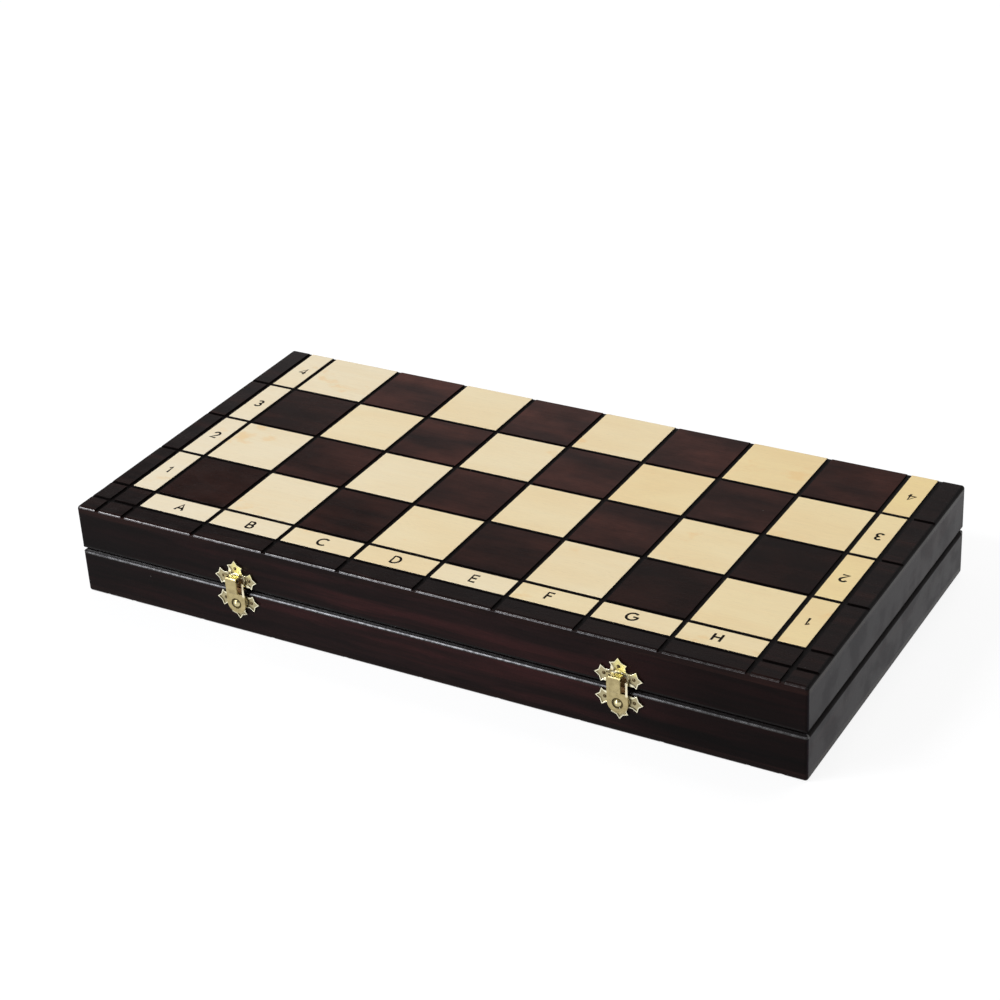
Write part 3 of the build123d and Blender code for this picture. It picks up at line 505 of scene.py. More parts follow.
def latch_light_and_marks(t, place, colour, shine):
    """Painted light and shade and other marks on the latches' sheet brass: gives back colour and roughness
    with them.

    The attributes latch_u and latch_v give a point's place from its latch's middle. The stars
    have pale lips as a painted highlight and darker dished floors, a painted brown shade fills the
    window beside the hood, brown speckles darken the foot's lower part, the strip beside the window
    has a painted highlight, a painted yellow reflection lies on the top star towards its upper
    right, and a painted dark ring of shade lies round the rivet's head.
    """
    y = t.split(place)[1]
    u = t.attribute("latch_u")
    v = t.attribute("latch_v")
    fine = t.noise(place, 1600.0, 3.0)
    # Painted highlight on the stars' raised lips
    lip = t.times(
        t.span(y, FRONT_Y - LIP_LOW, FRONT_Y - LIP_HIGH),
        t.math("GREATER_THAN", y, FRONT_Y - PLATE_TOP),
    )
    colour = t.mix(lip, colour, LIP_HIGHLIGHT)
    dish = t.times(t.span(y, FRONT_Y - DISH_TOP, FRONT_Y - DISH_FLOOR), 0.8)
    colour = t.mix(dish, colour, DISH_BROWN)
    # Painted shade in the window beside the hood: brown above, near black towards the seam
    window = t.times(
        t.span(t.math("ABSOLUTE", u), WINDOW_HALF, WINDOW_HALF - 0.5 * MM),
        t.span(v, WINDOW_LOW - 0.3 * MM, WINDOW_LOW),
        t.span(v, WINDOW_HIGH, WINDOW_HIGH - 0.4 * MM),
        t.span(y, FRONT_Y - WINDOW_TOP, FRONT_Y - WINDOW_FLOOR),
    )
    brown = t.mix(t.span(fine, 0.35, 0.65), SHADE_BROWN_DARK, SHADE_BROWN_PALE)
    brown = t.mix(t.span(v, 0.2 * MM, -0.8 * MM), brown, WINDOW_SHADE)
    colour = t.mix(window, colour, brown)
    foot = t.times(
        t.span(v, -RIVET_DOWN - 2.6 * MM, -RIVET_DOWN - 3.6 * MM),
        t.span(fine, 0.47, 0.60),
        0.6,
    )
    colour = t.mix(foot, colour, FOOT_BROWN)
    # Painted highlight on the strip beside the window
    strip = t.times(
        t.math("GREATER_THAN", u, 4.2 * MM),
        t.math("LESS_THAN", y, FRONT_Y - HOOD_BACK),
        t.span(v, -3.0 * MM, -1.8 * MM),
    )
    colour = t.mix(strip, colour, STRIP_HIGHLIGHT)
    # Painted yellow reflection on the top star, towards its upper right
    slant = t.math("ADD", u, t.times(v, 0.3))
    star_reflection = t.times(t.span(v, TOP_STAR, TOP_STAR + 1.8 * MM), t.span(slant, 0.0, 3.5 * MM), 0.7)
    colour = t.mix(star_reflection, colour, STAR_REFLECTION_YELLOW)
    up = t.math("ADD", v, RIVET_DOWN)
    radius = t.math("SQRT", t.math("ADD", t.times(u, u), t.times(up, up)))
    # Painted shade: a dark ring round the rivet's head
    ring = t.times(
        t.span(radius, RING_IN - 0.2 * MM, RING_IN),
        t.span(radius, RING_OUT, RING_OUT - 0.35 * MM),
        t.span(fine, 0.25, 0.5, 0.75, 1.0),
    )
    colour = t.mix(ring, colour, RING_SHADE)
    shine = t.math("ADD", shine, t.times(t.math("MAXIMUM", ring, window), 0.25))
    return colour, shine


def stamped_brass(name, bright, dull, rough, marks=False):
    """Brass of the latches: champagne sheet with clouds and small dents, and with marks also painted
    highlights, reflection and shade, and brown speckles.
    """
    made, t, shader = start_material(name)
    place = t.place()
    cloud = t.span(t.noise(place, 420.0, 4.0), 0.32, 0.70)
    colour = t.mix(cloud, (*bright, 1), (*dull, 1))
    shine = t.span(cloud, 0.0, 1.0, rough, rough + 0.14)
    if marks:
        colour, shine = latch_light_and_marks(t, place, colour, shine)
    t.feed(shader.inputs["Base Color"], colour)
    shader.inputs["Metallic"].default_value = 1.0
    t.feed(shader.inputs["Roughness"], shine)
    t.feed(shader.inputs["Normal"], bumped(t, t.noise(place, 800.0, 4.0), 0.05 * MM))
    return made


def pile(name, colour, light, size, depth):
    """Short fibres: mottled colour, a soft sheen and a fine rough surface."""
    made, t, shader = start_material(name)
    place = t.place()
    fine = t.noise(place, size, 3.0, 0.7)
    tint = t.mix(t.span(fine, 0.3, 0.7), (*colour, 1), (*light, 1))
    shade = t.span(t.noise(place, 35.0, 3.0), 0.3, 0.7, 0.85, 1.15)
    t.feed(shader.inputs["Base Color"], t.tinted(tint, shade))
    shader.inputs["Roughness"].default_value = 0.95
    shader.inputs["Sheen Weight"].default_value = 0.12
    shader.inputs["Sheen Roughness"].default_value = 0.5
    t.feed(shader.inputs["Normal"], bumped(t, fine, depth))
    return made


def burnt_ink(name):
    """Burnt lettering: dark brown line, a little uneven."""
    made, t, shader = start_material(name)
    uneven = t.span(t.noise(t.place(), 1800.0, 2.0), 0.3, 0.7)
    burnt = t.mix(uneven, (0.004, 0.003, 0.002, 1), (0.014, 0.009, 0.006, 1))
    t.feed(shader.inputs["Base Color"], burnt)
    shader.inputs["Roughness"].default_value = 0.6
    shader.inputs["IOR"].default_value = 1.12
    t.feed(shader.inputs["Normal"], bumped(t, uneven, 0.02 * MM))
    return made


RAIL = dict(dark=(0.0042, 0.0022, 0.0022), light=(0.0085, 0.0036, 0.0036), red=(0.0185, 0.0056, 0.0056))
END_RAIL = dict(dark=(0.0042, 0.0026, 0.0056), light=(0.0078, 0.0036, 0.0070), red=(0.0150, 0.0056, 0.0080))
BOARD = dict(dark=(0.0060, 0.0030, 0.0030), light=(0.0100, 0.0046, 0.0040), red=(0.0190, 0.0068, 0.0054))
WALNUT = dict(dark=(0.0095, 0.0036, 0.0031), light=(0.0150, 0.0055, 0.0042), red=(0.0355, 0.0112, 0.0080))
EBONY = dict(dark=(0.010, 0.006, 0.005), light=(0.020, 0.010, 0.008), red=(0.040, 0.014, 0.010))
MAPLE = dict(pale=(0.86, 0.765, 0.57), warm=(0.88, 0.68, 0.31), deep=(0.82, 0.60, 0.30))
BOXWOOD = dict(pale=(0.76, 0.60, 0.36), warm=(0.74, 0.54, 0.28), deep=(0.62, 0.42, 0.20))
MATERIALS = {
    "rail_x": lacquered_wood("rail_x", **RAIL, painted_mid_reflection=True),
    "rail_y": lacquered_wood("rail_y", **END_RAIL, along="Y"),
    "board": lacquered_wood("board", **BOARD, rough=0.20),
    "walnut": lacquered_wood("walnut_tile", **WALNUT, rough=0.19, ior=1.12, tiles=True),
    "maple": pale_wood("maple_tile", **MAPLE),
    "latch_brass": stamped_brass("latch_brass", (0.48, 0.40, 0.205), (0.335, 0.275, 0.135), 0.27, marks=True),
    "latch_rim_highlight": stamped_brass("latch_rim_highlight", (1.0, 0.97, 0.80), (0.90, 0.85, 0.62), 0.24),
    "rivet_brass": stamped_brass("rivet_brass", (0.68, 0.60, 0.34), (0.44, 0.38, 0.20), 0.22),
    "nail_brass": stamped_brass("nail_brass", (0.12, 0.085, 0.040), (0.055, 0.040, 0.018), 0.38),
    "hinge_brass": brass("hinge_brass", (0.74, 0.61, 0.32), (0.50, 0.40, 0.20), 0.28),
    "screw_brass": brass("screw_brass", (0.70, 0.58, 0.31), (0.46, 0.36, 0.18), 0.25),
    "flock": pile("flock", (0.115, 0.010, 0.014), (0.20, 0.022, 0.028), 2600.0, 0.10 * MM),
    "felt": pile("felt", (0.035, 0.12, 0.055), (0.07, 0.20, 0.10), 1800.0, 0.15 * MM),
    "boxwood": pale_wood("boxwood", **BOXWOOD, tiles=False, rough=0.28),
    "ebonised": lacquered_wood("ebonised", **EBONY, rough=0.22, ior=1.45, box=False),
    "ink": burnt_ink("ink"),
}


def dress(names, material):
    """Gives CAD nodes their material."""
    for name in names:
        mesh = NODES[name].data
        mesh.materials.clear()
        mesh.materials.append(MATERIALS[material])


def new_object(name, data):
    """Object in the scene, at the origin."""
    made = bpy.data.objects.new(name, data)
    bpy.context.scene.collection.objects.link(made)
    return made


def points_of(mesh):
    """Places of a mesh's points, one row for each."""
    place = np.zeros(len(mesh.vertices) * 3)
    mesh.vertices.foreach_get("co", place)
    return place.reshape(-1, 3)


def whole_copy(node, name):
    """Copy of a CAD node's mesh with its seams merged and its flat faces made whole."""
    bm = bmesh.new()
    bm.from_mesh(NODES[node].data)
    bmesh.ops.remove_doubles(bm, verts=bm.verts, dist=WELD)
    bmesh.ops.dissolve_limit(bm, angle_limit=math.radians(0.4), verts=bm.verts, edges=bm.edges)
    mesh = bpy.data.meshes.new(name)
    bm.to_mesh(mesh)
    bm.free()
    return mesh


def stand_in(node, mesh, material):
    """Shows a mesh in place of a CAD node, on the node's body."""
    made = new_object(node + "_look", mesh)
    mesh.materials.clear()
    mesh.materials.append(MATERIALS[material])
    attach(made, NODES[node]["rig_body"])
    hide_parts(node)
    return made


def soften(obj, width):
    """Rounds the sharp edges a little and gives their bevel back, with the flat faces shaded flat."""
    for face in obj.data.polygons:
        face.use_smooth = True
    bevel = obj.modifiers.new("edge", "BEVEL")
    bevel.width = width
    bevel.segments = 2
    bevel.limit_method = "ANGLE"
    bevel.angle_limit = math.radians(40)
    bevel.use_clamp_overlap = True
    level = obj.modifiers.new("level", "WEIGHTED_NORMAL")
    level.mode = "FACE_AREA_WITH_ANGLE"
    level.weight = 90
    level.keep_sharp = False
    return bevel


def add_marks(mesh, domain, marks):
    """Puts named values on a mesh's faces or points."""
    for name, value in marks.items():
        mark = mesh.attributes.new(name, "FLOAT", domain)
        mark.data.foreach_set("value", value.astype(np.float32))


CHANCE = np.random.default_rng(7).random((4096, 2))


def tile_marks(mesh, salt, dark):
    """Per-tile seed and tone from the cell that each face lies in.

    The pale tiles grow warmer towards the right, the dark ones redder towards the hinge and
    duller in the first file and the last two. A cell's key picks its own row of chance.
    """
    centre = np.zeros(len(mesh.polygons) * 3)
    mesh.polygons.foreach_get("center", centre)
    centre = centre.reshape(-1, 3)
    column = np.floor((centre[:, 0] + FILES / 2 * SQUARE) / SQUARE).astype(int)
    row = np.floor((centre[:, 1] - (BOX_LOW.y + BORDER + STRIP)) / SQUARE).astype(int)
    key = (column + 3) * 37 + (row + 3) * 11 + salt * 101
    if dark:
        dull = np.maximum(column - (FILES - 3), 0) + np.maximum(1 - column, 0)
        tone = 0.25 * CHANCE[key, 1] + 0.75 * row / (RANKS - 1) - 0.35 * dull
    else:
        tone = 0.30 * CHANCE[key, 1] + 0.60 * column / FILES + 0.15 * row / RANKS
    add_marks(mesh, "FACE", {"tile_seed": CHANCE[key, 0], "tile_tone": np.clip(tone, -0.2, 1.0)})


def inlaid_tiles(owner, salt, face_z):
    """Squares and label tiles of one half, their tops sunk a little below its face."""
    inward = -1 if owner == "lid" else 1
    for kind, wood in (("light_squares", "maple"), ("dark_squares", "walnut"), ("label_tiles", "maple")):
        node = owner + "_" + kind
        mesh = whole_copy(node, node + "_look")
        place = points_of(mesh)
        outer = np.abs(place[:, 2] - face_z) < WELD
        place[outer, 2] += inward * INLAY_SINK
        mesh.vertices.foreach_set("co", place.ravel())
        tile_marks(mesh, salt, kind == "dark_squares")
        soften(stand_in(node, mesh, wood), TILE_EDGE)


def latch(side):
    """Sheet brass of one latch, its rounded rim in paler brass as a painted highlight, marked with each
    point's place on it.
    """
    rivet_low, rivet_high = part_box(side + "_latch_rivet")
    middle_x = (rivet_low.x + rivet_high.x) / 2
    for piece in ("catch_plate", "latch_plate", "latch_lever"):
        node = side + "_" + piece
        mesh = whole_copy(node, node + "_look")
        place = points_of(mesh)
        add_marks(mesh, "POINT", {"latch_u": place[:, 0] - middle_x, "latch_v": place[:, 2] - SEAM_Z})
        made = stand_in(node, mesh, "latch_brass")
        # The rounded rim's paler brass is a painted highlight
        mesh.materials.append(MATERIALS["latch_rim_highlight"])
        soften(made, LATCH_EDGE).material = 1
    dress([side + "_latch_rivet"], "rivet_brass")


inlaid_tiles("lid", 0, BOX_HIGH.z)
inlaid_tiles("base", 1, BOX_LOW.z)
for owner in ("base", "lid"):
    dress([owner + "_panel"], "board")
    dress([owner + "_front_rail", owner + "_back_rail"], "rail_x")
    dress([owner + "_left_rail", owner + "_right_rail"], "rail_y")
for side in ("left", "right"):
    latch(side)
    dress([side + "_hinge_base_leaf", side + "_hinge_lid_leaf", side + "_hinge_pin"], "hinge_brass")
dress(["catch_plate_nails", "latch_plate_nails"], "nail_brass")
dress(["base_hinge_screws", "lid_hinge_screws"], "screw_brass")
dress(["storage_tray", "lid_liner"], "flock")
for colour, wood in (("white", "boxwood"), ("black", "ebonised")):
    men = [name for name in NODES if name.startswith(colour + "_") and not name.endswith("felts")]
    dress(men, wood)
    dress([colour + "_felts"], "felt")


def near_line(place, points):
    """Distance of each flat point from a broken line, and how far along it the nearest spot lies."""
    best = np.full(len(place), np.inf)
    along = np.zeros(len(place))
    run = 0.0
    for first, second in zip(points[:-1], points[1:]):
        step = second - first
        length = np.linalg.norm(step)
        share = np.clip(((place - first) @ step) / length**2, 0.0, 1.0)
        gap = np.linalg.norm(place - first - share[:, None] * step, axis=1)
        closer = gap < best
        best[closer] = gap[closer]
        along[closer] = run + share[closer] * length
        run += length
    return best, along


def ramp(value, low, high):
    """Smooth step from 0 to 1."""
    share = np.clip((value - low) / (high - low), 0.0, 1.0)
    return share * share * (3 - 2 * share)


def bell(distance, width, middle=0.0):
    """Bell curve: 1 at the middle, 1/e one width off it."""
    return np.exp(-(((distance - middle) / width) ** 2))


# Outlines carved into a knight's head, in shares of its foot's radius and of its height
NECK_BACK = ((-0.66, 0.22), (-0.74, 0.36), (-0.70, 0.54), (-0.52, 0.72), (-0.26, 0.85), (-0.14, 0.89))
MOUTH = ((0.96, 0.545), (0.60, 0.565))
EYE = (0.20, 0.765)
NOSTRIL = (0.76, 0.605)
JAW = (0.16, 0.655)
FOOT_TOP = 0.20
NECK_FIXED = 0.205
NECK_FREE = 0.25
EARS_LOW = 0.87
EARS_HIGH = 0.93


def head_cuts(flat):
    """Depth of the carving at each flat point (u, v) of a knight's head.

    The mane is 0.55 + 0.45 sin(2 pi (s + 0.9 d) / 2.3 mm), where d is the distance from the back
    of the neck and s the way along it, with a line in front of it. Eye and jaw are bell-shaped
    rings, the jaw's fading out at the back and top. The nostril is a dimple and the mouth a line.
    """
    size = np.array((KNIGHT_R, KNIGHT_H))
    gap, along = near_line(flat, np.array(NECK_BACK) * size)
    locks = 0.55 + 0.45 * np.sin(2 * np.pi * (along + 0.9 * gap) / (2.3 * MM))
    cuts = 0.45 * MM * ramp(gap, 5.2 * MM, 4.4 * MM) * locks
    cuts += 0.35 * MM * bell(gap, 0.45 * MM, 5.4 * MM)
    eye = np.linalg.norm(flat - np.array(EYE) * size, axis=1)
    cuts += 0.50 * MM * bell(eye, 0.45 * MM, 1.5 * MM)
    nostril = np.linalg.norm(flat - np.array(NOSTRIL) * size, axis=1)
    cuts += 0.60 * MM * bell(nostril, 0.7 * MM)
    mouth = near_line(flat, np.array(MOUTH) * size)[0]
    cuts += 0.50 * MM * bell(mouth, 0.4 * MM)
    from_jaw = flat - np.array(JAW) * size
    front = ramp(from_jaw[:, 0], 0.0, 2.0 * MM) * ramp(from_jaw[:, 1], 3.5 * MM, 1.0 * MM)
    cuts += 0.40 * MM * front * bell(np.linalg.norm(from_jaw, axis=1), 0.5 * MM, 3.8 * MM)
    return cuts


def ease(mesh, place, free):
    """Draws each point half way towards the mean of its neighbours, round after round."""
    count = len(place)
    pairs = np.zeros(len(mesh.edges) * 2, dtype=np.int32)
    mesh.edges.foreach_get("vertices", pairs)
    first, second = pairs.reshape(-1, 2).T
    near = np.bincount(first, minlength=count) + np.bincount(second, minlength=count)
    for turn in range(EASE_ROUNDS):
        total = np.zeros((count, 3))
        for axis in range(3):
            total[:, axis] = np.bincount(first, place[second, axis], count)
            total[:, axis] += np.bincount(second, place[first, axis], count)
        place += 0.5 * free[:, None] * (total / near[:, None] - place)


def carve(mesh, middle_x, foot_y, middle_z):
    """Rounds a remeshed knight's head and carves it.

    u runs towards the nose, v from the foot to the ears and w through the head, all from the
    man's own axis. The head is eased, then each point goes inwards by the depth of the carving,
    and the ears part where w is 0. The turned foot stays as it is.
    """
    place = points_of(mesh)
    free = ramp(place[:, 1] - foot_y, NECK_FIXED * KNIGHT_H, NECK_FREE * KNIGHT_H)
    ease(mesh, place, free)
    mesh.vertices.foreach_set("co", place.ravel())
    mesh.update()
    normals = np.zeros(len(place) * 3)
    mesh.vertex_normals.foreach_get("vector", normals)
    u = place[:, 0] - middle_x
    v = place[:, 1] - foot_y
    w = place[:, 2] - middle_z
    cuts = head_cuts(np.stack((u, v), axis=1)) * free
    ears = ramp(v, EARS_LOW * KNIGHT_H, EARS_HIGH * KNIGHT_H) * np.clip(1 - np.abs(w) / (1.3 * MM), 0.0, 1.0)
    place -= normals.reshape(-1, 3) * cuts[:, None]
    place[:, 1] -= 2.6 * MM * ears
    mesh.vertices.foreach_set("co", place.ravel())


def cut_across(bm, level, **side):
    """Cuts a mesh at a level of y and clears one side of the cut."""
    every = bm.verts[:] + bm.edges[:] + bm.faces[:]
    bmesh.ops.bisect_plane(bm, geom=every, plane_co=(0, level, 0), plane_no=(0, 1, 0), **side)


def carved_knight(node, wood):
    """Knight in place of its CAD node: the turned foot as it is and a carved head."""
    low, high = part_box(node)
    foot_y = low.y - FELT_T
    joint = foot_y + FOOT_TOP * KNIGHT_H
    raw = whole_copy(node, node + "_raw")
    holder = new_object(node + "_raw", raw)
    skin = holder.modifiers.new("skin", "REMESH")
    skin.mode = "VOXEL"
    skin.voxel_size = VOXEL
    seen = holder.evaluated_get(bpy.context.evaluated_depsgraph_get())
    head = bpy.data.meshes.new_from_object(seen)
    bpy.data.objects.remove(holder)
    carve(head, (low.x + high.x) / 2, foot_y, (low.z + high.z) / 2)
    whole = bmesh.new()
    whole.from_mesh(head)
    cut_across(whole, joint - 0.1 * MM, clear_inner=True)
    for face in whole.faces:
        face.smooth = True
    foot = bmesh.new()
    foot.from_mesh(raw)
    cut_across(foot, joint + 0.02 * MM, clear_outer=True)
    foot.to_mesh(raw)
    foot.free()
    whole.from_mesh(raw)
    made = bpy.data.meshes.new(node + "_look")
    whole.to_mesh(made)
    whole.free()
    bpy.data.meshes.remove(head)
    bpy.data.meshes.remove(raw)
    stand_in(node, made, wood)


for colour, wood in (("white", "boxwood"), ("black", "ebonised")):
    for number in ("1", "2"):
        carved_knight(colour + "_knight_" + number, wood)


def arc(centre_x, centre_y, radius_x, radius_y, start, end, steps=18):
    """Points of an elliptic arc, angles in degrees."""
    turn = np.radians(np.linspace(start, end, steps))
    return list(zip(centre_x + radius_x * np.cos(turn), centre_y + radius_y * np.sin(turn)))


# Strokes of each letter and figure, in letter heights from its lower left
GLYPHS = {
    "A": [[(0, 0), (0.38, 1), (0.76, 0)], [(0.14, 0.34), (0.62, 0.34)]],
    "B": [
        [(0, 0), (0, 1), (0.26, 1)] + arc(0.26, 0.76, 0.24, 0.24, 90, -90) + [(0, 0.52)],
        [(0.26, 0.52)] + arc(0.30, 0.26, 0.28, 0.26, 90, -90) + [(0, 0)],
    ],
    "C": [arc(0.48, 0.5, 0.48, 0.5, 48, 312, 30)],
    "D": [[(0, 0), (0, 1), (0.24, 1)] + arc(0.24, 0.5, 0.48, 0.5, 90, -90, 26) + [(0, 0)]],
    "E": [[(0.54, 1), (0, 1), (0, 0), (0.54, 0)], [(0, 0.52), (0.48, 0.52)]],
    "F": [[(0.52, 1), (0, 1), (0, 0)], [(0, 0.52), (0.46, 0.52)]],
    "G": [arc(0.48, 0.5, 0.48, 0.5, 48, 360, 32) + [(0.56, 0.5)]],
    "H": [[(0, 0), (0, 1)], [(0.66, 0), (0.66, 1)], [(0, 0.52), (0.66, 0.52)]],
    "1": [[(0, 0.76), (0.22, 1), (0.22, 0)]],
    "2": [arc(0.29, 0.71, 0.28, 0.29, 165, -38, 20) + [(0.0, 0.0), (0.58, 0.0)]],
    "3": [arc(0.26, 0.76, 0.24, 0.24, 150, -90, 20) + arc(0.26, 0.26, 0.28, 0.26, 90, -150, 22)],
    "4": [[(0.50, 0), (0.50, 1), (0, 0.30), (0.66, 0.30)]],
    "5": [[(0.52, 1), (0.12, 1), (0.07, 0.56)] + arc(0.27, 0.32, 0.30, 0.32, 128, -150, 24)],
    "6": [[(0.44, 1), (0.06, 0.46)] + arc(0.29, 0.29, 0.29, 0.29, 145, -215, 34)],
    "7": [[(0, 1), (0.56, 1), (0.16, 0)]],
    "8": [arc(0.27, 0.75, 0.24, 0.25, -90, 270, 28), arc(0.27, 0.25, 0.27, 0.25, 90, -270, 30)],
}

# How far each stamp landed from the middle of its tile, in millimetres
STAMP_OFF = {
    "A": (0.25, 0.3),
    "B": (0.8, -0.35),
    "C": (0.05, 0.05),
    "D": (-0.35, 0.1),
    "E": (0.0, 0.3),
    "F": (-2.8, 0.9),
    "G": (-2.4, 0.65),
    "H": (-2.6, 0.55),
    "left": ((-0.2, 1.6), (-0.35, 1.2), (0.1, -0.9), (0.65, -0.6)),
    "right": ((0.0, 0.2), (0.0, -0.8), (0.6, -0.9), (0.9, -1.2)),
}


def stamped_spots(letters, numbers):
    """Glyph, middle and turn in degrees of every coordinate, from the middle of one face.

    x runs to the right and y towards the hinge, as seen from that face.
    """
    front = -(BOX_HIGH.y - BOX_LOW.y) / 2 + BORDER
    spots = []
    for index, letter in enumerate(letters):
        off_x, off_y = STAMP_OFF[letter]
        across = (index - FILES / 2 + 0.5) * SQUARE
        spots.append((letter, across + off_x * MM, front + STRIP / 2 + off_y * MM, 0))
    for index, number in enumerate(numbers):
        along = front + STRIP + (index + 0.5) * SQUARE
        for strip, way, turn in (("left", -1, 0), ("right", 1, 180)):
            off_x, off_y = STAMP_OFF[strip][index]
            across = way * (FILES / 2 * SQUARE + STRIP / 2)
            spots.append((number, across + off_x * MM, along + off_y * MM, turn))
    return spots


def draw_glyph(curve, glyph, at_x, at_y, turn):
    """Adds a glyph's strokes to a curve, about its middle."""
    every = np.array([point for stroke in GLYPHS[glyph] for point in stroke])
    middle = np.array([(every[:, 0].min() + every[:, 0].max()) / 2, 0.5])
    angle = math.radians(turn)
    spin = np.array([[math.cos(angle), -math.sin(angle)], [math.sin(angle), math.cos(angle)]])
    for stroke in GLYPHS[glyph]:
        points = ((np.array(stroke) - middle) * LETTER_H) @ spin.T + (at_x, at_y)
        spline = curve.splines.new("POLY")
        spline.points.add(len(points) - 1)
        flat = np.zeros((len(points), 4))
        flat[:, :2] = points
        flat[:, 3] = 1
        spline.points.foreach_set("co", flat.ravel())


def lettering(owner, face_z, letters, numbers):
    """Coordinates of one half: round strokes pressed flat, so that they read as inked grooves."""
    side = 1 if owner == "lid" else -1
    curve = bpy.data.curves.new(owner + "_lettering", "CURVE")
    curve.dimensions = "3D"
    curve.bevel_depth = LETTER_W / 2
    curve.bevel_resolution = 2
    curve.use_fill_caps = True
    for spot in stamped_spots(letters, numbers):
        draw_glyph(curve, *spot)
    holder = bpy.data.objects.new(owner + "_lettering_line", curve)
    mesh = bpy.data.meshes.new_from_object(holder)
    bpy.data.objects.remove(holder)
    place = points_of(mesh)
    place[:, 0] *= side
    place[:, 1] += CENTRE.y
    place[:, 2] = face_z - side * INLAY_SINK * (1 - 2 * place[:, 2] / LETTER_W)
    mesh.vertices.foreach_set("co", place.ravel())
    mesh.materials.append(MATERIALS["ink"])
    made = new_object(owner + "_lettering", mesh)
    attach(made, owner)


lettering("lid", BOX_HIGH.z, "ABCDEFGH", "1234")
lettering("base", BOX_LOW.z, "HGFEDCBA", "8765")

# Camera, fitted to the corners of the box in the photograph: millimetres, metres and degrees
LENS = 85.471
SENSOR = 36.0
CAMERA_PLACE = (0.528815, -0.898678, 0.624641)
CAMERA_HEADING = 30.8614
CAMERA_TILT = 61.0861
CAMERA_ROLL = -3.4331


def photo_camera():
    """Camera at the photograph's place."""
    data = bpy.data.cameras.new("camera")
    data.lens = LENS
    data.sensor_width = SENSOR
    data.clip_start = 0.02
    camera = new_object("camera", data)
    bpy.context.scene.camera = camera
    turn = Matrix.Rotation(math.radians(CAMERA_HEADING), 4, "Z")
    turn = turn @ Matrix.Rotation(math.radians(CAMERA_TILT), 4, "X")
    turn = turn @ Matrix.Rotation(math.radians(CAMERA_ROLL), 4, "Z")
    camera.matrix_world = Matrix.Translation(CAMERA_PLACE) @ turn


def soft_light(name, toward, distance, size, power, along=(1.0, 0.0, 0.0), tint=(1.0, 1.0, 1.0)):
    """Area light that looks at the object from the given direction, its first side along a line."""
    data = bpy.data.lights.new(name, "AREA")
    data.shape = "RECTANGLE"
    data.size, data.size_y = size
    data.energy = power
    data.color = tint
    lamp = new_object(name, data)
    way = Vector(toward).normalized()
    second = way.cross(Vector(along)).normalized()
    first = second.cross(way)
    turn = Matrix((first, second, way)).transposed()
    aim = Vector((0.0, 0.0, 0.03))
    lamp.matrix_world = Matrix.Translation(aim + way * distance) @ turn.to_4x4()


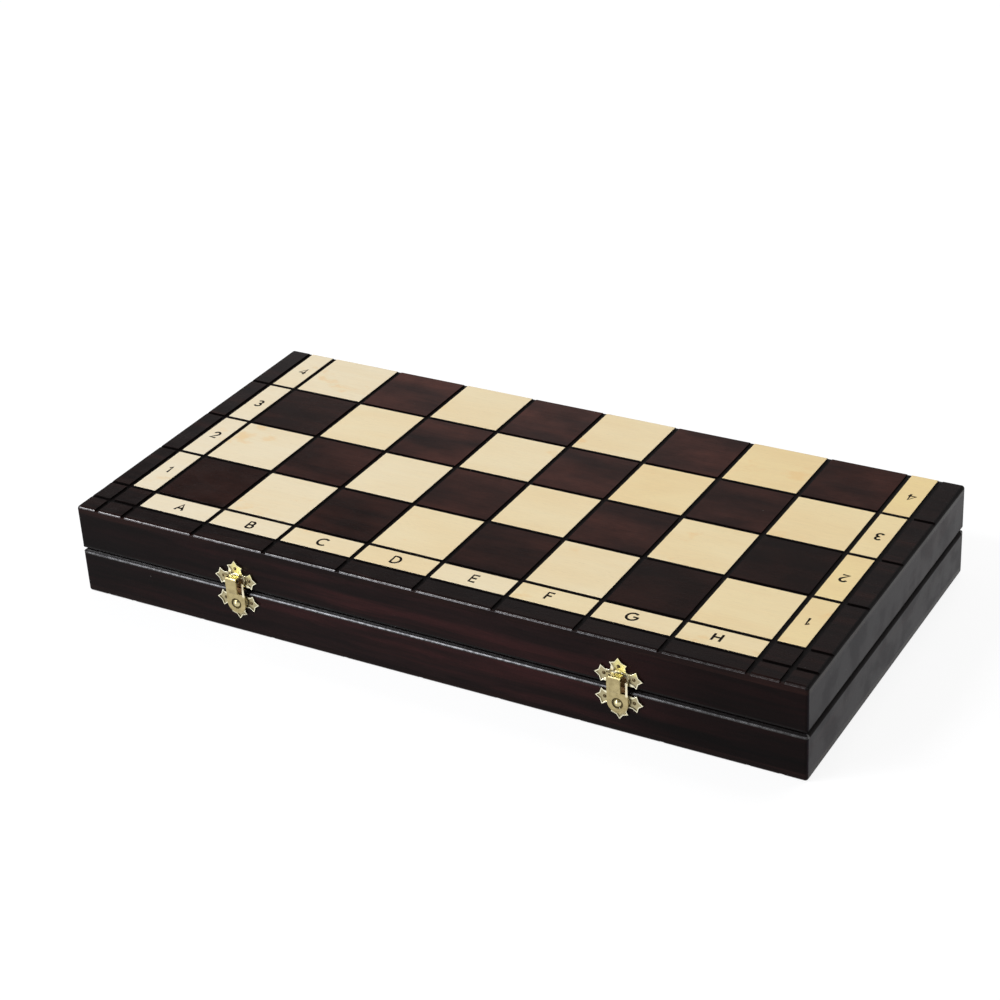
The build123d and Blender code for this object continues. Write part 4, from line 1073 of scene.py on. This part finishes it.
def room():
    """World: white near the level of the box, a soft dim ceiling, darker behind the right side.

    The ceiling is brightest in a band towards the hinge, where the squares of the hinge's side
    mirror it. The camera sees plain white, and so does a face that mirrors what lies low.
    """
    world = bpy.data.worlds.new("world")
    bpy.context.scene.world = world
    world.use_nodes = True
    t = Tree(world.node_tree)
    sky = world.node_tree.nodes["Background"]
    x, y, z = t.split(t.node("ShaderNodeTexCoord").outputs["Generated"])
    low = t.span(z, 0.33, 0.42, 1.0, 1.1)
    bright = t.times(
        t.span(y, 0.68, 0.79, 0.15, 1.0),
        t.span(y, 0.795, 0.82, 1.0, 0.35),
        t.span(z, 0.55, 0.64, 1.0, 0.35),
    )
    bright = t.math("MAXIMUM", bright, 0.19)
    ceiling = t.math("MULTIPLY_ADD", t.math("SUBTRACT", bright, 1.0), t.span(z, 0.34, 0.44), 1.0)
    level = t.times(low, ceiling, t.span(x, 0.0, 0.35, 1.0, 0.55))
    rays = t.node("ShaderNodeLightPath").outputs
    mirrored = t.math("MAXIMUM", rays["Is Glossy Ray"], rays["Is Transmission Ray"])
    mirrored = t.times(mirrored, t.span(z, 0.33, 0.25))
    plain = t.math("MAXIMUM", rays["Is Camera Ray"], mirrored)
    t.feed(sky.inputs["Color"], t.mix(plain, t.join(level, level, level), (1.0, 1.0, 1.0, 1.0)))
    sky.inputs["Strength"].default_value = 1.0


def white_floor():
    """Floor: white as seen, with the object's shadow kept, and a plain matte for other light."""
    reach = 6.0
    corners = [(-reach, -reach, 0), (reach, -reach, 0), (reach, reach, 0), (-reach, reach, 0)]
    mesh = bpy.data.meshes.new("floor")
    mesh.from_pydata(corners, [], [(0, 1, 2, 3)])
    floor = new_object("floor", mesh)
    floor.location.z = -0.2 * MM
    look = bpy.data.materials.new("floor_look")
    look.use_nodes = True
    t = Tree(look.node_tree)
    for old in list(look.node_tree.nodes):
        look.node_tree.nodes.remove(old)
    rays = t.node("ShaderNodeLightPath").outputs
    seen = t.math("MAXIMUM", rays["Is Glossy Ray"], rays["Is Transmission Ray"])
    seen = t.math("MAXIMUM", rays["Is Camera Ray"], seen)
    matte = t.node("ShaderNodeBsdfDiffuse", {"Color": (0.78, 0.78, 0.78, 1)}).outputs[0]
    shadowed = t.node("ShaderNodeBsdfDiffuse", {"Color": (0.22, 0.22, 0.22, 1)}).outputs[0]
    glow = t.node("ShaderNodeEmission", {"Color": (1, 1, 1, 1), "Strength": 0.85}).outputs[0]
    white = t.node("ShaderNodeAddShader", {0: shadowed, 1: glow}).outputs[0]
    chosen = t.node("ShaderNodeMixShader", {0: seen, 1: matte, 2: white}).outputs[0]
    t.feed(t.node("ShaderNodeOutputMaterial").inputs["Surface"], chosen)
    mesh.materials.append(look)


photo_camera()
# The lamps stand where the rounded front edges mirror them to the camera: the high one in the
# edge of the playing face, the upright low one in the rim of the base
soft_light("high_window", (-0.597, -0.493, 0.634), 2.35, (1.0, 0.4), 30.0, tint=(0.96, 0.97, 1.0))
soft_light(
    "low_window", (-0.465, -0.86, 0.17), 1.9, (0.7, 0.5), 16.0, along=(0.0, 0.2, 0.98), tint=(0.90, 0.92, 1.0)
)
soft_light("top", (0.25, 0.60, 1.0), 2.4, (1.6, 1.2), 20.5)
room()
white_floor()
bpy.context.scene.view_settings.view_transform = "Standard"
